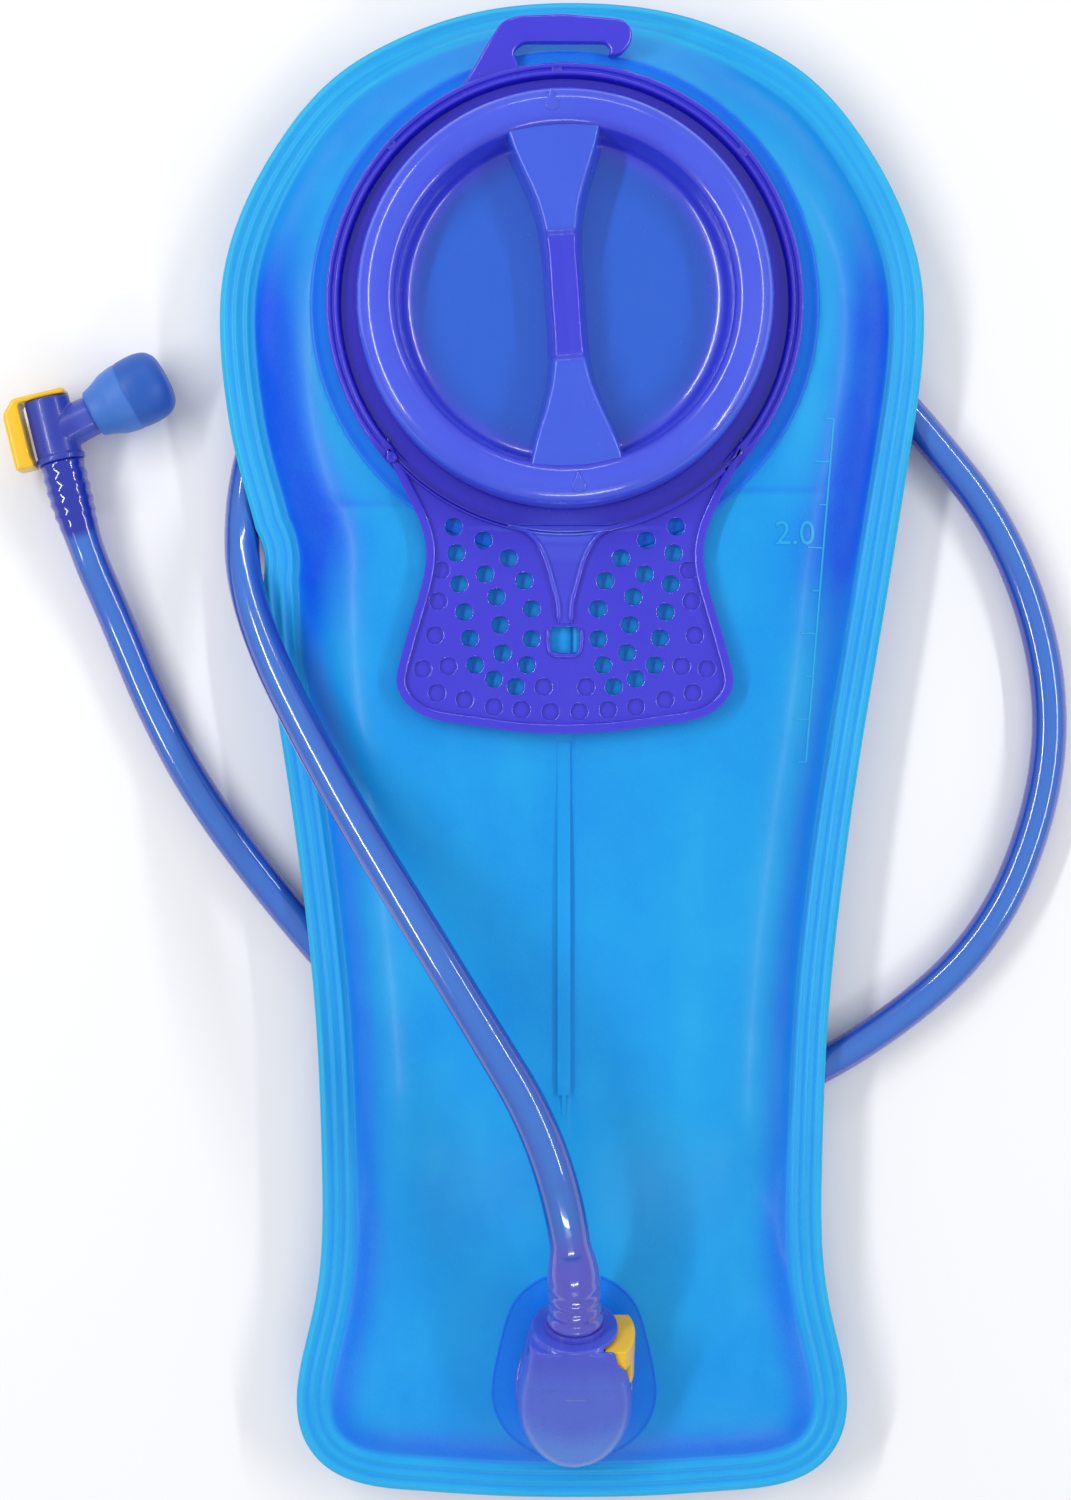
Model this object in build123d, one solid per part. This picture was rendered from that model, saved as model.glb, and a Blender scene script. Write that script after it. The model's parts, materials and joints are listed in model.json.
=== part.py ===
"""Two-litre hydration bladder lying on its back, with its drinking hose and bite valve.

Units are millimetres and +Z is up. The origin is on the flat resting face of the back film, under
the middle of the bag; +Y points to the filler port and its hanging hook.
"""

import math
import os

from build123d import *

os.makedirs("parts", exist_ok=True)

# ---- bag -------------------------------------------------------------------------------------
FILM = 0.6  # thickness of one film
BAND = 8.8  # width of the welded edge band
SEAM_Z = 13.0  # height of the weld between the two films
BAG_TOP_Z = 26.0  # height of the front film round the filler port
OUTLET_Z = 17.5  # height of the front film round the outlet
RAISED_Z = 9.6  # underside of the bag's ends, which lie on the hose
BELLY = (-50.0, 82.0)  # the bag sags to the ground between these places in Y
BELLY_RISE = 20.0  # length of each slope from the ground up to the ends
ROOF_SLOPE = (-84.0, -128.0)  # the front film comes down to the outlet between these places in Y
# Right half of the bag's outline, from the top to the bottom; the left half mirrors it.
RIGHT_EDGE = [
    (0, 190.5), (28, 187.3), (45.1, 181), (60, 172), (75.4, 154), (84.8, 136), (89.3, 118.6),
    (89.8, 109.7), (85.9, 74), (80.1, 38), (74.1, 2.6), (69, -33), (65.3, -69), (63.8, -104.6),
    (65.4, -140), (68.8, -155), (70.2, -166), (68.3, -175.7), (63.1, -182.5), (55.4, -186.5),
    (40, -188.8), (20, -190.1), (0, -190.5),
]  # fmt: skip
OUTLINE_SPANS = 16  # the outline is drawn inset as so many tangent splines
SPAN_STEPS = 8
BAFFLE_X = -2.2
BAFFLE_Y = (-92.0, 2.0)
BAFFLE_WEB = 1.0
BAFFLE_FOOT = 3.2

# ---- filler port -----------------------------------------------------------------------------
PORT = (-2.0, 111.5)  # centre of the neck
COLLAR_R = 63.7  # weld flange under the front film
COLLAR_PLATE = 1.2
NECK_BORE_R = 43.2
NECK_R = 45.6
NECK_TOP_Z = 38.5
THREAD_LEAD = 10.0
THREAD_STARTS = 2
THREAD_RISE = 5.0  # height that one start climbs
THREAD_DEPTH = 1.3
THREAD_HEIGHT = 1.6  # of one ridge at its root
NECK_THREAD_Z = 32.2  # where the neck's ridges begin
THREAD_GAP = 0.35  # free play between the flanks of the closed cap

FRAME_R = 59.5
FRAME_LIP_R = 56.0  # inside of the raised lip
FRAME_PLATE = 2.2
FRAME_LIP_Z = 31.0
PAD_LIFT = 0.4  # the paddle hangs this far above the film
PAD_TOP_Z = 28.4
PAD_RIM_Z = 29.8
PAD_RIM = 2.0
PAD_HOLE_R = 2.1
DIMPLE_DEPTH = 0.8
# Right edge of the paddle from the port's centre, ring to bottom corner.
PAD_SIDE = [(45.6, -34.3), (38.3, -48.5), (34.0, -60.7), (36.3, -75.0), (40.6, -90.0)]
PAD_CORNER = [(41.2, -95.5), (37.0, -101.2)]
PAD_BOTTOM_Y = -106.8
# Holes right of the paddle's middle line, from the port's centre: right through, then blind.
PAD_HOLES = [
    (27.7, -55.8), (20.3, -59.2), (14.0, -63.6), (10.1, -69.3), (8.3, -76.3), (8.3, -83.8), (9.5, -90.3),
    (12.2, -95.7), (27.1, -62.4), (19.9, -67.6), (17.1, -73.3), (16.2, -80.3), (15.5, -87.3),
    (17.7, -93.8), (26.4, -70.1), (25.1, -77.1), (23.7, -83.6), (22.4, -90.3),
]  # fmt: skip
PAD_DIMPLES = [
    (30.9, -66.7), (31.6, -74.4), (32.4, -82.9), (35.4, -91.3), (29.1, -90.6), (31.9, -97.3),
    (25.0, -99.0), (17.7, -100.8), (10.8, -101.5), (3.6, -102.0), (5.3, -95.8),
]  # fmt: skip
SPINE_HALF = [(15.0, -50.0), (9.8, -57.0), (6.6, -60.2), (4.4, -65.0), (3.0, -70.0)]
SPINE_HALF += [(1.7, -75.5), (1.6, -80.0)]
KEYHOLE_CENTRE = (0.0, -84.0)
KEYHOLE = (7.2, 6.4)
SPINE_Z = 30.2
# Hanging hook from the port's centre: its outer edge, then the inner edge back to the ring.
HOOK_EDGE = [
    (-27.0, 52.0), (-23.9, 56.5), (-18.9, 65.3), (-15.7, 70.1), (-11.5, 71.5), (0.0, 71.9), (14.5, 70.6),
    (16.9, 68.1), (16.7, 64.8), (14.0, 61.6), (10.4, 61.0), (11.4, 62.8), (10.2, 64.6), (-10.5, 64.6),
    (-12.9, 62.5), (-10.8, 57.0),
]  # fmt: skip
HOOK_Z = (26.6, 29.6)

# ---- cap -------------------------------------------------------------------------------------
CAP_R = 51.5
CAP_SKIRT_BORE_R = 47.9
CAP_TOP_Z = 42.0
CAP_ROOF_Z = 40.1  # underside of the roof, on the gasket
CAP_FLOOR_Z = (29.4, 31.2)
CUP_FLOOR_R = 38.6
CUP_RIM_R = 43.0
CUP_WALL = 1.6
CAP_ANGLE = 4.0  # the closed cap stops a little past square
GRIP_HALF_WIDTHS = (11.6, 3.6)  # at the rim, at the waist
GRIP_WAIST_Y = 15.2
GRIP_TOP_Z = 41.2
GRIP_DRAFT = 1.8
GRIP_SADDLE = 1.3
GASKET = (43.4, 45.4)

# ---- outlet ----------------------------------------------------------------------------------
OUTLET_X = 0.5
PATCH = ((-150.0, 17.8), (-158.0, 21.6))  # two circles, centre in Y and radius, hulled
PATCH_PLATE = 1.2
BULB = (-162.6, 14.4, 18.4)  # centre in Y, half width, half length
BULB_TOP_Z = 29.5
BULB_WALL = 1.6
BULB_FILLET = 5.0
PLUG_FACE = (OUTLET_X, -142.8, 31.0)  # middle of the socket's mouth
PLUG_TILT = 27.0  # degrees that the socket points up from the bag
SOCKET_R = 10.7
SOCKET_TUBE_R = 6.2
SHOULDER_DROP = 0.5  # the bulb's sloping top under the socket's top line
SOCKET_DEPTH = 15.0
SOCKET_BORE_R = 5.1
SPIGOT_R = 4.9
SPIGOT_LENGTH = 10.5
PLUG_FLANGE = (7.6, 1.6)
BARB_LENGTH = 20.0
BARB_CORE_R = 2.9
BARB_RIDGE_R = 3.6
PLUG_BORE_R = 2.0
LATCH_DEPTH = 3.4  # middle of the latch plate behind the socket's mouth
LATCH_PLATE = 1.8
LATCH_HALF_WIDTH = 6.4
LATCH_TRAVEL = 2.0
LATCH_GAP = 0.3
LATCH_PLATE_END = 11.2
LATCH_HEAD_R = 8.5  # hollow of the thumb block, round the socket's inner tube
LATCH_HEAD_X = (7.2, 15.0)
LATCH_HEAD_Y = (-8.4, 6.4)  # across the plug's axis, the low end towards the viewer
LATCH_HEAD_Z = (-7.4, -1.7)  # along the plug's axis, behind the socket's front disc
LATCH_TAIL = (12.4, 14.0)  # inner side of the block's tail, and how far it reaches back
THUMB_REST = (8.2, -154.5, 4.7, 3.5)  # middle from the bulb's axis in X, in Y, and half sizes
THUMB_REST_OUT = 9.0  # its flat top, out from the plug's axis
SPRING_DEPTH = 6.2  # middle of the latch spring behind the socket's mouth
SPRING_PLACE = (8.6, 13.8)  # its ends in X
BULB_BORE_HALF = 10.2  # half width of the valve chamber

# ---- drinking hose ---------------------------------------------------------------------------
HOSE_R = 4.5
HOSE_BORE_R = 3.1
HOSE_LIE_Z = 4.5  # the hose lies on the ground
RIM_NOTCH_R = 5.2  # room for the hose where it passes the edge band

# ---- shut-off valve --------------------------------------------------------------------------
VALVE_FLANGE = (-130.8, 73.8, 9.0)  # middle of the flange that the hose butts against
VALVE_LEAN = 13.8  # degrees that the barrel leans left of +Y
BARREL_R = 5.75
BARREL_LENGTH = 16.4
FLANGE_R = 6.2
FLANGE_PLATE = 1.5
VALVE_BARB = 19.0
ROTOR_R = 3.5
ROTOR_GAP = 0.15
ROTOR_Z = (3.0, 14.0)
STEM_R = 2.0
STUB_START = 7.4  # where the stub leaves the barrel, up from the flange
STUB_TILT = 13.4  # degrees that the stub points up from square to the barrel
STUB_R = (5.5, 5.1)
STUB_END = 11.0
NIPPLE_R = 3.6
NIPPLE_END = 18.5
VALVE_BORE_R = 1.9
LEVER_X = (-11.5, -6.9)
LEVER_HALF_WIDTH = 4.4
LEVER_TOP_Z = 18.2
BITE_TIP = 32.0
BITE_WALL = 1.5


def square_to(origin, z_dir, x_dir=(1, 0, 0)):
    """Return the place whose own Z axis points along z_dir."""
    return Plane(origin=origin, x_dir=x_dir, z_dir=z_dir).location


def ring(outer, inner, low, high):
    """Return a flat ring about Z between two heights."""
    disc = Pos(0, 0, low) * extrude(Circle(outer) - Circle(inner), high - low)
    return disc


def rod(radius, low, high):
    """Return a cylinder about Z between two heights."""
    return Pos(0, 0, low) * extrude(Circle(radius), high - low)


def box(x, y, z):
    """Return a box from its three (low, high) pairs."""
    low = Vector(x[0], y[0], z[0])
    size = Vector(x[1], y[1], z[1]) - low
    return Location(low + size / 2) * Box(size.X, size.Y, size.Z)


# ---- the bag's outline and the hose's route ---------------------------------------------------

LEFT_EDGE = [(-x, y) for x, y in RIGHT_EDGE[-2:0:-1]]
EDGE = Spline(*(RIGHT_EDGE + LEFT_EDGE), periodic=True)


def outline(inset, height=0.0):
    """Return the bag's outline as a wire of tangent spans, drawn inside its edge by inset."""
    spans = []
    for span in range(OUTLINE_SPANS):
        places = [(span + step / SPAN_STEPS) / OUTLINE_SPANS for step in range(SPAN_STEPS + 1)]
        headings = [EDGE % along for along in places]
        points = [
            ((EDGE @ along).X + heading.Y * inset, (EDGE @ along).Y - heading.X * inset, height)
            for along, heading in zip(places, headings)
        ]
        spans.append(Spline(*points, tangents=[headings[0], headings[-1]]))
    return Wire(spans)


def tray(inset, low, high):
    """Return the solid inside the inset outline between two heights."""
    return Part() + extrude(Face(outline(inset, low)), high - low, dir=(0, 0, 1))


def band(low, high):
    """Return the flat edge band of one film between two heights."""
    face = Face(outline(0.0, low), [outline(BAND + FILM, low)])
    return Part() + extrude(face, high - low, dir=(0, 0, 1))


PLUG_AXIS = Vector(0, math.cos(math.radians(PLUG_TILT)), math.sin(math.radians(PLUG_TILT)))
PLUG_UP = Vector(0, -PLUG_AXIS.Z, PLUG_AXIS.Y)
VALVE_AXIS = Vector(-math.sin(math.radians(VALVE_LEAN)), math.cos(math.radians(VALVE_LEAN)), 0)
HOSE_START = Vector(*PLUG_FACE) + PLUG_AXIS * PLUG_FLANGE[1]
HOSE_END = Vector(*VALVE_FLANGE)

# Corners of the hose's route: up from the plug, over the bag's left edge, under the bag's upper
# part, round the right side on the ground, under the lower part and up the left side to the valve.
HOSE_ROUTE = [
    tuple(HOSE_START),
    tuple(HOSE_START + PLUG_AXIS * 41.0),
    (-30.5, -53.5, 50.0),
    (-61.0, -6.0, 34.5),
    (-83.5, 37.0, 15.0),
    (-85.5, 66.0, HOSE_LIE_Z),
    (-77.5, 92.0, HOSE_LIE_Z),
    (-60.0, 114.0, HOSE_LIE_Z),
    (-33.0, 130.0, HOSE_LIE_Z),
    (2.0, 135.5, HOSE_LIE_Z),
    (37.0, 129.0, HOSE_LIE_Z),
    (65.0, 111.0, HOSE_LIE_Z),
    (90.0, 84.0, HOSE_LIE_Z),
    (112.0, 56.5, HOSE_LIE_Z),
    (123.8, 21.0, HOSE_LIE_Z),
    (122.8, -12.0, HOSE_LIE_Z),
    (108.0, -49.0, HOSE_LIE_Z),
    (77.0, -75.5, HOSE_LIE_Z),
    (42.0, -92.5, HOSE_LIE_Z),
    (14.0, -101.5, HOSE_LIE_Z),
    (-16.0, -95.5, HOSE_LIE_Z),
    (-45.0, -73.5, HOSE_LIE_Z),
    (-72.0, -43.5, HOSE_LIE_Z),
    (-95.0, -13.5, HOSE_LIE_Z),
    (-108.0, 10.5, HOSE_LIE_Z),
    (-117.5, 34.0, HOSE_LIE_Z),
    tuple(HOSE_END - VALVE_AXIS * 20.0),
    tuple(HOSE_END),
]
RIM_CROSSING = (2, 6)  # corners of the route between which it passes the edge band


def route_path(first, last):
    """Return the route's runs and tangent arcs between two of its corners."""
    points = [Vector(*point) for point in HOSE_ROUTE[first : last + 1]]
    radii = []
    for before, corner, after in zip(points, points[1:], points[2:]):
        turn = math.radians((corner - before).get_angle(after - corner))
        shorter = min((corner - before).length, (after - corner).length)
        radii.append(0.45 * shorter / math.tan(turn / 2))
    return FilletPolyline(*points, radius=radii), radii


def along_route(profile, first, last):
    """Sweep a flat profile along part of the hose's route, its own Y axis staying upright."""
    path, _ = route_path(first, last)
    heading = path % 0
    start = Plane(origin=path @ 0, x_dir=Vector(0, 0, 1).cross(heading), z_dir=heading)
    return sweep(start * profile, path=path)


def rim_notch():
    """Return the room round the hose where it passes the left edge band."""
    return along_route(Circle(RIM_NOTCH_R), *RIM_CROSSING)


# ---- bag -------------------------------------------------------------------------------------


def under(profile):
    """Return everything between the ground and a roof line drawn in Y and Z."""
    last_y, first_y = profile[-1][0], profile[0][0]
    side = Polyline(*profile, (last_y, -50), (first_y, -50), close=True)
    return extrude(Plane.YZ * make_face(side), 120, both=True)


def roof(drop):
    """Return everything under the front film's top surface, lowered by drop."""
    start, end = ROOF_SLOPE
    top, low = BAG_TOP_Z - drop, OUTLET_Z - drop
    return under([(200, top), (start, top), (end, low), (-200, low)])


def keel(lift):
    """Return everything under the back film's lower surface, raised by lift."""
    line = [(200, RAISED_Z), (BELLY[1], RAISED_Z), (BELLY[1] - BELLY_RISE, 0)]
    line += [(BELLY[0] + BELLY_RISE, 0), (BELLY[0], RAISED_Z), (-200, RAISED_Z)]
    return under([(y, z + lift) for y, z in line])


def front_film():
    """The upper film: edge band, walls, top and the two holes for the port and the outlet."""
    film = band(SEAM_Z, SEAM_Z + FILM) + (tray(BAND, SEAM_Z, BAG_TOP_Z) & roof(0.0))
    film -= tray(BAND + FILM, SEAM_Z - 1, BAG_TOP_Z) & roof(FILM)
    film -= Pos(*PORT, SEAM_Z) * rod(NECK_R + 0.1, 0, 20)
    film -= Pos(OUTLET_X, PATCH[1][0], SEAM_Z) * rod(SOCKET_BORE_R + 4.0, 0, 10)
    return film - rim_notch()


def back_film():
    """The lower film: its belly rests on the ground and its ends lie on the hose."""
    film = band(SEAM_Z - FILM, SEAM_Z) + (tray(BAND, 0.0, SEAM_Z) - keel(0.0))
    film -= tray(BAND + FILM, 0.0, SEAM_Z + 1) - keel(FILM)
    return film - rim_notch()


def centre_baffle():
    """The strip that ties the two films together down the middle."""
    web = box((-BAFFLE_WEB / 2, BAFFLE_WEB / 2), BAFFLE_Y, (FILM, BAG_TOP_Z - FILM))
    for height in (FILM, BAG_TOP_Z - FILM - BAFFLE_WEB / 2):
        foot = (height, height + BAFFLE_WEB / 2)
        web += box((-BAFFLE_FOOT / 2, BAFFLE_FOOT / 2), BAFFLE_Y, foot)
    return ((Pos(BAFFLE_X, 0, 0) * web) & roof(FILM)) - keel(FILM)


# ---- filler port -----------------------------------------------------------------------------


def thread(radius, outwards, low):
    """Return the thread's starts: ridges that climb on a wall of the given radius."""
    depth = THREAD_DEPTH if outwards else -THREAD_DEPTH
    root = -0.3 if outwards else 0.3
    ridges = Part()
    for start in range(THREAD_STARTS):
        helix = Helix(pitch=THREAD_LEAD, height=THREAD_RISE, radius=radius)
        foot = Plane(origin=helix @ 0, x_dir=(1, 0, 0), z_dir=helix % 0)
        corners = [(root, -0.8), (depth, -0.4), (depth, 0.4), (root, 0.8)]
        profile = foot * Polygon(*corners, align=None)
        ridge = sweep(profile, path=helix, is_frenet=True)
        ridges += Pos(0, 0, low) * Rot(0, 0, start * 360 / THREAD_STARTS) * ridge
    return ridges


def port_collar():
    """The neck, its thread, and the flange that is welded under the front film."""
    flange_top = BAG_TOP_Z - FILM
    body = ring(COLLAR_R, NECK_BORE_R, flange_top - COLLAR_PLATE, flange_top)
    body += ring(NECK_R, NECK_BORE_R, flange_top - COLLAR_PLATE, NECK_TOP_Z)
    body += ring(NECK_R + 0.6, NECK_R - 0.5, BAG_TOP_Z + FRAME_PLATE + 0.1, BAG_TOP_Z + FRAME_PLATE + 0.8)
    body += thread(NECK_R, True, NECK_THREAD_Z)
    return Pos(*PORT, 0) * body


def pad_outline(inset=0.0):
    """Return the paddle's face from the port's centre, drawn inset from its edge."""
    side = [(x - inset, y) for x, y in PAD_SIDE]
    side += [(x - 0.8 * inset, y + 0.6 * inset) for x, y in PAD_CORNER]
    right = Spline(*side)
    left = Spline(*[(-x, y) for x, y in reversed(side)])
    bottom = ThreePointArc(side[-1], (0, PAD_BOTTOM_Y + inset), (-side[-1][0], side[-1][1]))
    top = Line((-side[0][0], side[0][1]), side[0])
    return make_face([right, bottom, left, top])


def hanging_hook():
    """The open hook above the ring, from which the bag hangs in the pack."""
    face = make_face(Polyline(*HOOK_EDGE, close=True))
    return Pos(0, 0, HOOK_Z[0]) * extrude(face, HOOK_Z[1] - HOOK_Z[0])


def mirrored(places):
    """Return a position each side of the middle line for every place."""
    both = []
    for x, y in places:
        both += [Pos(x, y), Pos(-x, y)]
    return both


def port_frame():
    """The stiff ring on the neck, in one piece with the hook, the paddle and its spine."""
    plate_top = BAG_TOP_Z + FRAME_PLATE
    body = ring(FRAME_R, NECK_R, BAG_TOP_Z, plate_top)
    body += ring(FRAME_R, FRAME_LIP_R, BAG_TOP_Z, FRAME_LIP_Z)
    low = BAG_TOP_Z + PAD_LIFT
    paddle = Pos(0, 0, low) * extrude(pad_outline(), PAD_RIM_Z - low)
    paddle -= Pos(0, 0, PAD_TOP_Z) * extrude(pad_outline(PAD_RIM), 5)
    spine = SPINE_HALF + [(-x, y) for x, y in reversed(SPINE_HALF)]
    paddle += Pos(0, 0, low) * extrude(make_face(Polyline(*spine, close=True)), SPINE_Z - low)
    body += paddle - rod(FRAME_LIP_R + 1, 0, 60)
    body += hanging_hook() - rod(FRAME_LIP_R + 1, 0, 60)
    holes = Sketch() + [place * Circle(PAD_HOLE_R) for place in mirrored(PAD_HOLES)]
    holes += Pos(*KEYHOLE_CENTRE) * Rectangle(*KEYHOLE)
    body -= Pos(0, 0, 20) * extrude(holes, 20)
    dimples = Sketch() + [place * Circle(PAD_HOLE_R) for place in mirrored(PAD_DIMPLES)]
    body -= Pos(0, 0, PAD_TOP_Z - DIMPLE_DEPTH) * extrude(dimples, 10)
    return Pos(*PORT, 0) * body


# ---- cap -------------------------------------------------------------------------------------


def cap_gasket():
    """The flat ring that seals the cap on top of the neck."""
    return Pos(*PORT, 0) * ring(GASKET[1], GASKET[0], NECK_TOP_Z, CAP_ROOF_Z)


def grip_outline(extra, height):
    """Return the hourglass of the grip bar as a wire, extra wider each side."""
    wide, narrow = (half + extra for half in GRIP_HALF_WIDTHS)
    end = CUP_RIM_R + 1
    side = [(wide, end), ((wide + narrow) / 2 - 1.2, 27), (narrow, GRIP_WAIST_Y), (narrow, 0)]
    right = side + [(x, -y) for x, y in reversed(side[:-1])]
    left = [(-x, y) for x, y in reversed(right)]
    return Wire(Polyline(*[(x, y, height) for x, y in right + left], close=True).edges())


def grip_bar():
    """The hourglass bar across the cap that the fingers turn."""
    low, high = CAP_FLOOR_Z[1] - 0.5, GRIP_TOP_Z
    bar = Part() + Solid.make_loft([grip_outline(GRIP_DRAFT, low), grip_outline(0, high)], ruled=True)
    bar &= rod(CUP_FLOOR_R + 3.2, 0, 60)
    return bar - box((-10, 10), (-GRIP_WAIST_Y, GRIP_WAIST_Y), (high - GRIP_SADDLE, high + 5))


def screw_cap():
    """The wide cap: a recessed cup with the grip bar across it, and a threaded skirt."""
    floor_low, floor_high = CAP_FLOOR_Z
    section = Polyline(
        (0, floor_low),
        (CUP_FLOOR_R + CUP_WALL, floor_low),
        (CUP_RIM_R - 0.4, CAP_ROOF_Z),
        (CAP_SKIRT_BORE_R, CAP_ROOF_Z),
        (CAP_SKIRT_BORE_R, floor_low),
        (CAP_R, floor_low),
        (CAP_R, CAP_TOP_Z - 4.0),
        (CAP_R - 1.1, CAP_TOP_Z - 1.4),
        (CAP_R - 3.4, CAP_TOP_Z - 0.2),
        (CAP_R - 5.0, CAP_TOP_Z),
        (CUP_RIM_R + 0.4, CAP_TOP_Z - 0.3),
        (CUP_RIM_R - 1.4, CAP_TOP_Z - 1.6),
        (CUP_FLOOR_R + 0.6, floor_high + 0.5),
        (CUP_FLOOR_R - 0.4, floor_high),
        (0, floor_high),
        close=True,
    )
    body = revolve(Plane.XZ * make_face(section), Axis.Z)
    body += grip_bar()
    flank = THREAD_HEIGHT + THREAD_GAP
    body += thread(CAP_SKIRT_BORE_R, False, NECK_THREAD_Z - flank)
    return Pos(*PORT, 0) * Rot(0, 0, CAP_ANGLE) * body


# ---- outlet ----------------------------------------------------------------------------------


def egg(centre_y, half_width, half_length, shoulder):
    """Return the bulb's plan: a round end towards -Y, narrowing evenly towards the socket."""
    side = [(0.62, -0.79), (0.95, -0.33), (0.99, 0.12), (0.9, 0.52)]
    side = [(x * half_width, centre_y + y * half_length) for x, y in side]
    side += [(shoulder, centre_y + half_length), (shoulder * 0.6, centre_y + half_length * 1.22)]
    outline = [(0, centre_y - half_length), *side, (0, centre_y + half_length * 1.28)]
    return make_face(Spline(*outline, *[(-x, y) for x, y in reversed(side)], periodic=True))


def on_plug_axis(shape, depth=0.0):
    """Put a shape built about Z on the plug's axis, its Z pointing out of the socket."""
    return square_to(Vector(*PLUG_FACE) - PLUG_AXIS * depth, PLUG_AXIS) * shape


def latch_slot(gap):
    """Return the latch plate's outline as a solid, gap bigger all round."""
    half = LATCH_HALF_WIDTH + gap
    thick = LATCH_PLATE / 2 + gap
    middle = -LATCH_DEPTH
    return box((-9.4, LATCH_PLATE_END + gap), (-half, half), (middle - thick, middle + thick))


def spring_hole(low, high):
    """Return the bore across the plug's axis that the latch spring sits in."""
    return Pos(0, 0, -SPRING_DEPTH) * Rot(0, 90, 0) * rod(1.6, low, high)


def outlet_socket():
    """The outlet fitting: weld flange, bulb with the valve chamber, and the plug's socket."""
    under_film = OUTLET_Z - FILM
    circles = [Pos(0, y) * Circle(r) for y, r in PATCH]
    neck = Pos(0, PATCH[0][0] / 2 + PATCH[1][0] / 2) * Rectangle(2 * PATCH[0][1], 8)
    body = Pos(0, 0, under_film - PATCH_PLATE) * extrude(circles[0] + circles[1] + neck, PATCH_PLATE)
    shoulder = SOCKET_R - 0.2
    bulb = Pos(0, 0, OUTLET_Z) * extrude(egg(*BULB, shoulder), 30)
    above = on_plug_axis(box((-40, 40), (-60, SHOULDER_DROP - SOCKET_R), (-60, 60)))
    ahead = on_plug_axis(box((-40, 40), (-60, 60), (-1.0, 60)))
    bulb = Pos(OUTLET_X, 0, 0) * bulb - above
    top = bulb.faces().sort_by(lambda face: face.normal_at().dot(PLUG_UP))[-1]
    bulb = Pos(-OUTLET_X, 0, 0) * (fillet(top.edges(), BULB_FILLET) - ahead)
    rest_x, rest_y, rest_half, rest_length = THUMB_REST
    rest = Pos(rest_x, rest_y, OUTLET_Z + 8) * extrude(Ellipse(rest_half, rest_length), 20)
    above_rest = on_plug_axis(box((-40, 40), (-60, -THUMB_REST_OUT), (-60, 60)))
    body += bulb + (rest - Pos(-OUTLET_X, 0, 0) * above_rest)
    stem = Pos(0, PATCH[1][0], 0) * rod(SOCKET_BORE_R + 3.9, under_film - PATCH_PLATE, OUTLET_Z + 1)
    body = Pos(OUTLET_X, 0, 0) * (body + stem)
    socket = on_plug_axis(rod(SOCKET_R, -SOCKET_DEPTH, 0))
    body += socket - box((-50, 50), (-200, -100), (0, OUTLET_Z))
    chamber = extrude(Ellipse(BULB_BORE_HALF, BULB[2] - 6.0), BULB_TOP_Z - OUTLET_Z - BULB_WALL)
    chamber = fillet(chamber.faces().sort_by(Axis.Z)[-1].edges(), 5.0)
    ceiling = SHOULDER_DROP + BULB_WALL - SOCKET_R
    chamber = Pos(OUTLET_X, BULB[0] - 0.5, OUTLET_Z) * chamber
    body -= chamber - on_plug_axis(box((-40, 40), (-60, ceiling), (-60, 60)))
    body -= Pos(OUTLET_X, PATCH[1][0], 0) * rod(SOCKET_BORE_R + 2.4, under_film - 3, OUTLET_Z + 4)
    body -= on_plug_axis(rod(SOCKET_BORE_R, -SOCKET_DEPTH - 6, 1))
    body -= on_plug_axis(latch_slot(LATCH_GAP))
    body -= on_plug_axis(box((-20, -8), (-6.7, 6.7), (-LATCH_DEPTH - 1.2, -LATCH_DEPTH + 1.2)))
    low = LATCH_HEAD_X[0] - LATCH_TRAVEL - LATCH_GAP
    wide = (LATCH_HEAD_Y[0] - LATCH_GAP, LATCH_HEAD_Y[1] + LATCH_GAP)
    deep = (LATCH_HEAD_Z[0] - LATCH_GAP, LATCH_HEAD_Z[1] + LATCH_GAP)
    body -= on_plug_axis(box((low, 20), wide, deep) - rod(SOCKET_TUBE_R, -20, 2))
    body -= on_plug_axis(box((low, 20), wide, (deep[0], 2)) - rod(SOCKET_R, -20, 2))
    reach = LATCH_TAIL[1] + LATCH_GAP
    body -= on_plug_axis(box((LATCH_TAIL[0] - LATCH_TRAVEL - LATCH_GAP, 20), (-5.5, 5.5), (-reach, deep[1])))
    body -= on_plug_axis(spring_hole(SPRING_PLACE[0] - LATCH_TRAVEL - LATCH_GAP, 12))
    return body


def latch_button():
    """The yellow button: a sliding plate whose hole catches the plug, and the thumb pad on it."""
    plate = latch_slot(0.0)
    slot = SlotCenterToCenter(2 * LATCH_TRAVEL, 2 * (SPIGOT_R + 0.5))
    plate -= Pos(LATCH_TRAVEL, 0, -LATCH_DEPTH - 5) * extrude(slot, 10)
    head = box(LATCH_HEAD_X, LATCH_HEAD_Y, LATCH_HEAD_Z) & rod(LATCH_HEAD_X[1], -20, 2)
    head -= rod(LATCH_HEAD_R, -20, 2)
    tail = box((LATCH_TAIL[0], LATCH_HEAD_X[1] - 0.2), (-5.2, 5.2), (-LATCH_TAIL[1], LATCH_HEAD_Z[0] + 1))
    head += tail & rod(LATCH_HEAD_X[1], -20, 2)
    return on_plug_axis(plate + head - spring_hole(LATCH_HEAD_R - 1, SPRING_PLACE[1] + 0.3))


def coil(radius, wire, pitch, turns):
    """Return a coil spring about Z, starting at z = 0."""
    helix = Helix(pitch=pitch, height=pitch * turns, radius=radius)
    start = Plane(origin=helix @ 0, z_dir=helix % 0)
    return sweep(start * Circle(wire), path=helix, is_frenet=True)


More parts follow.
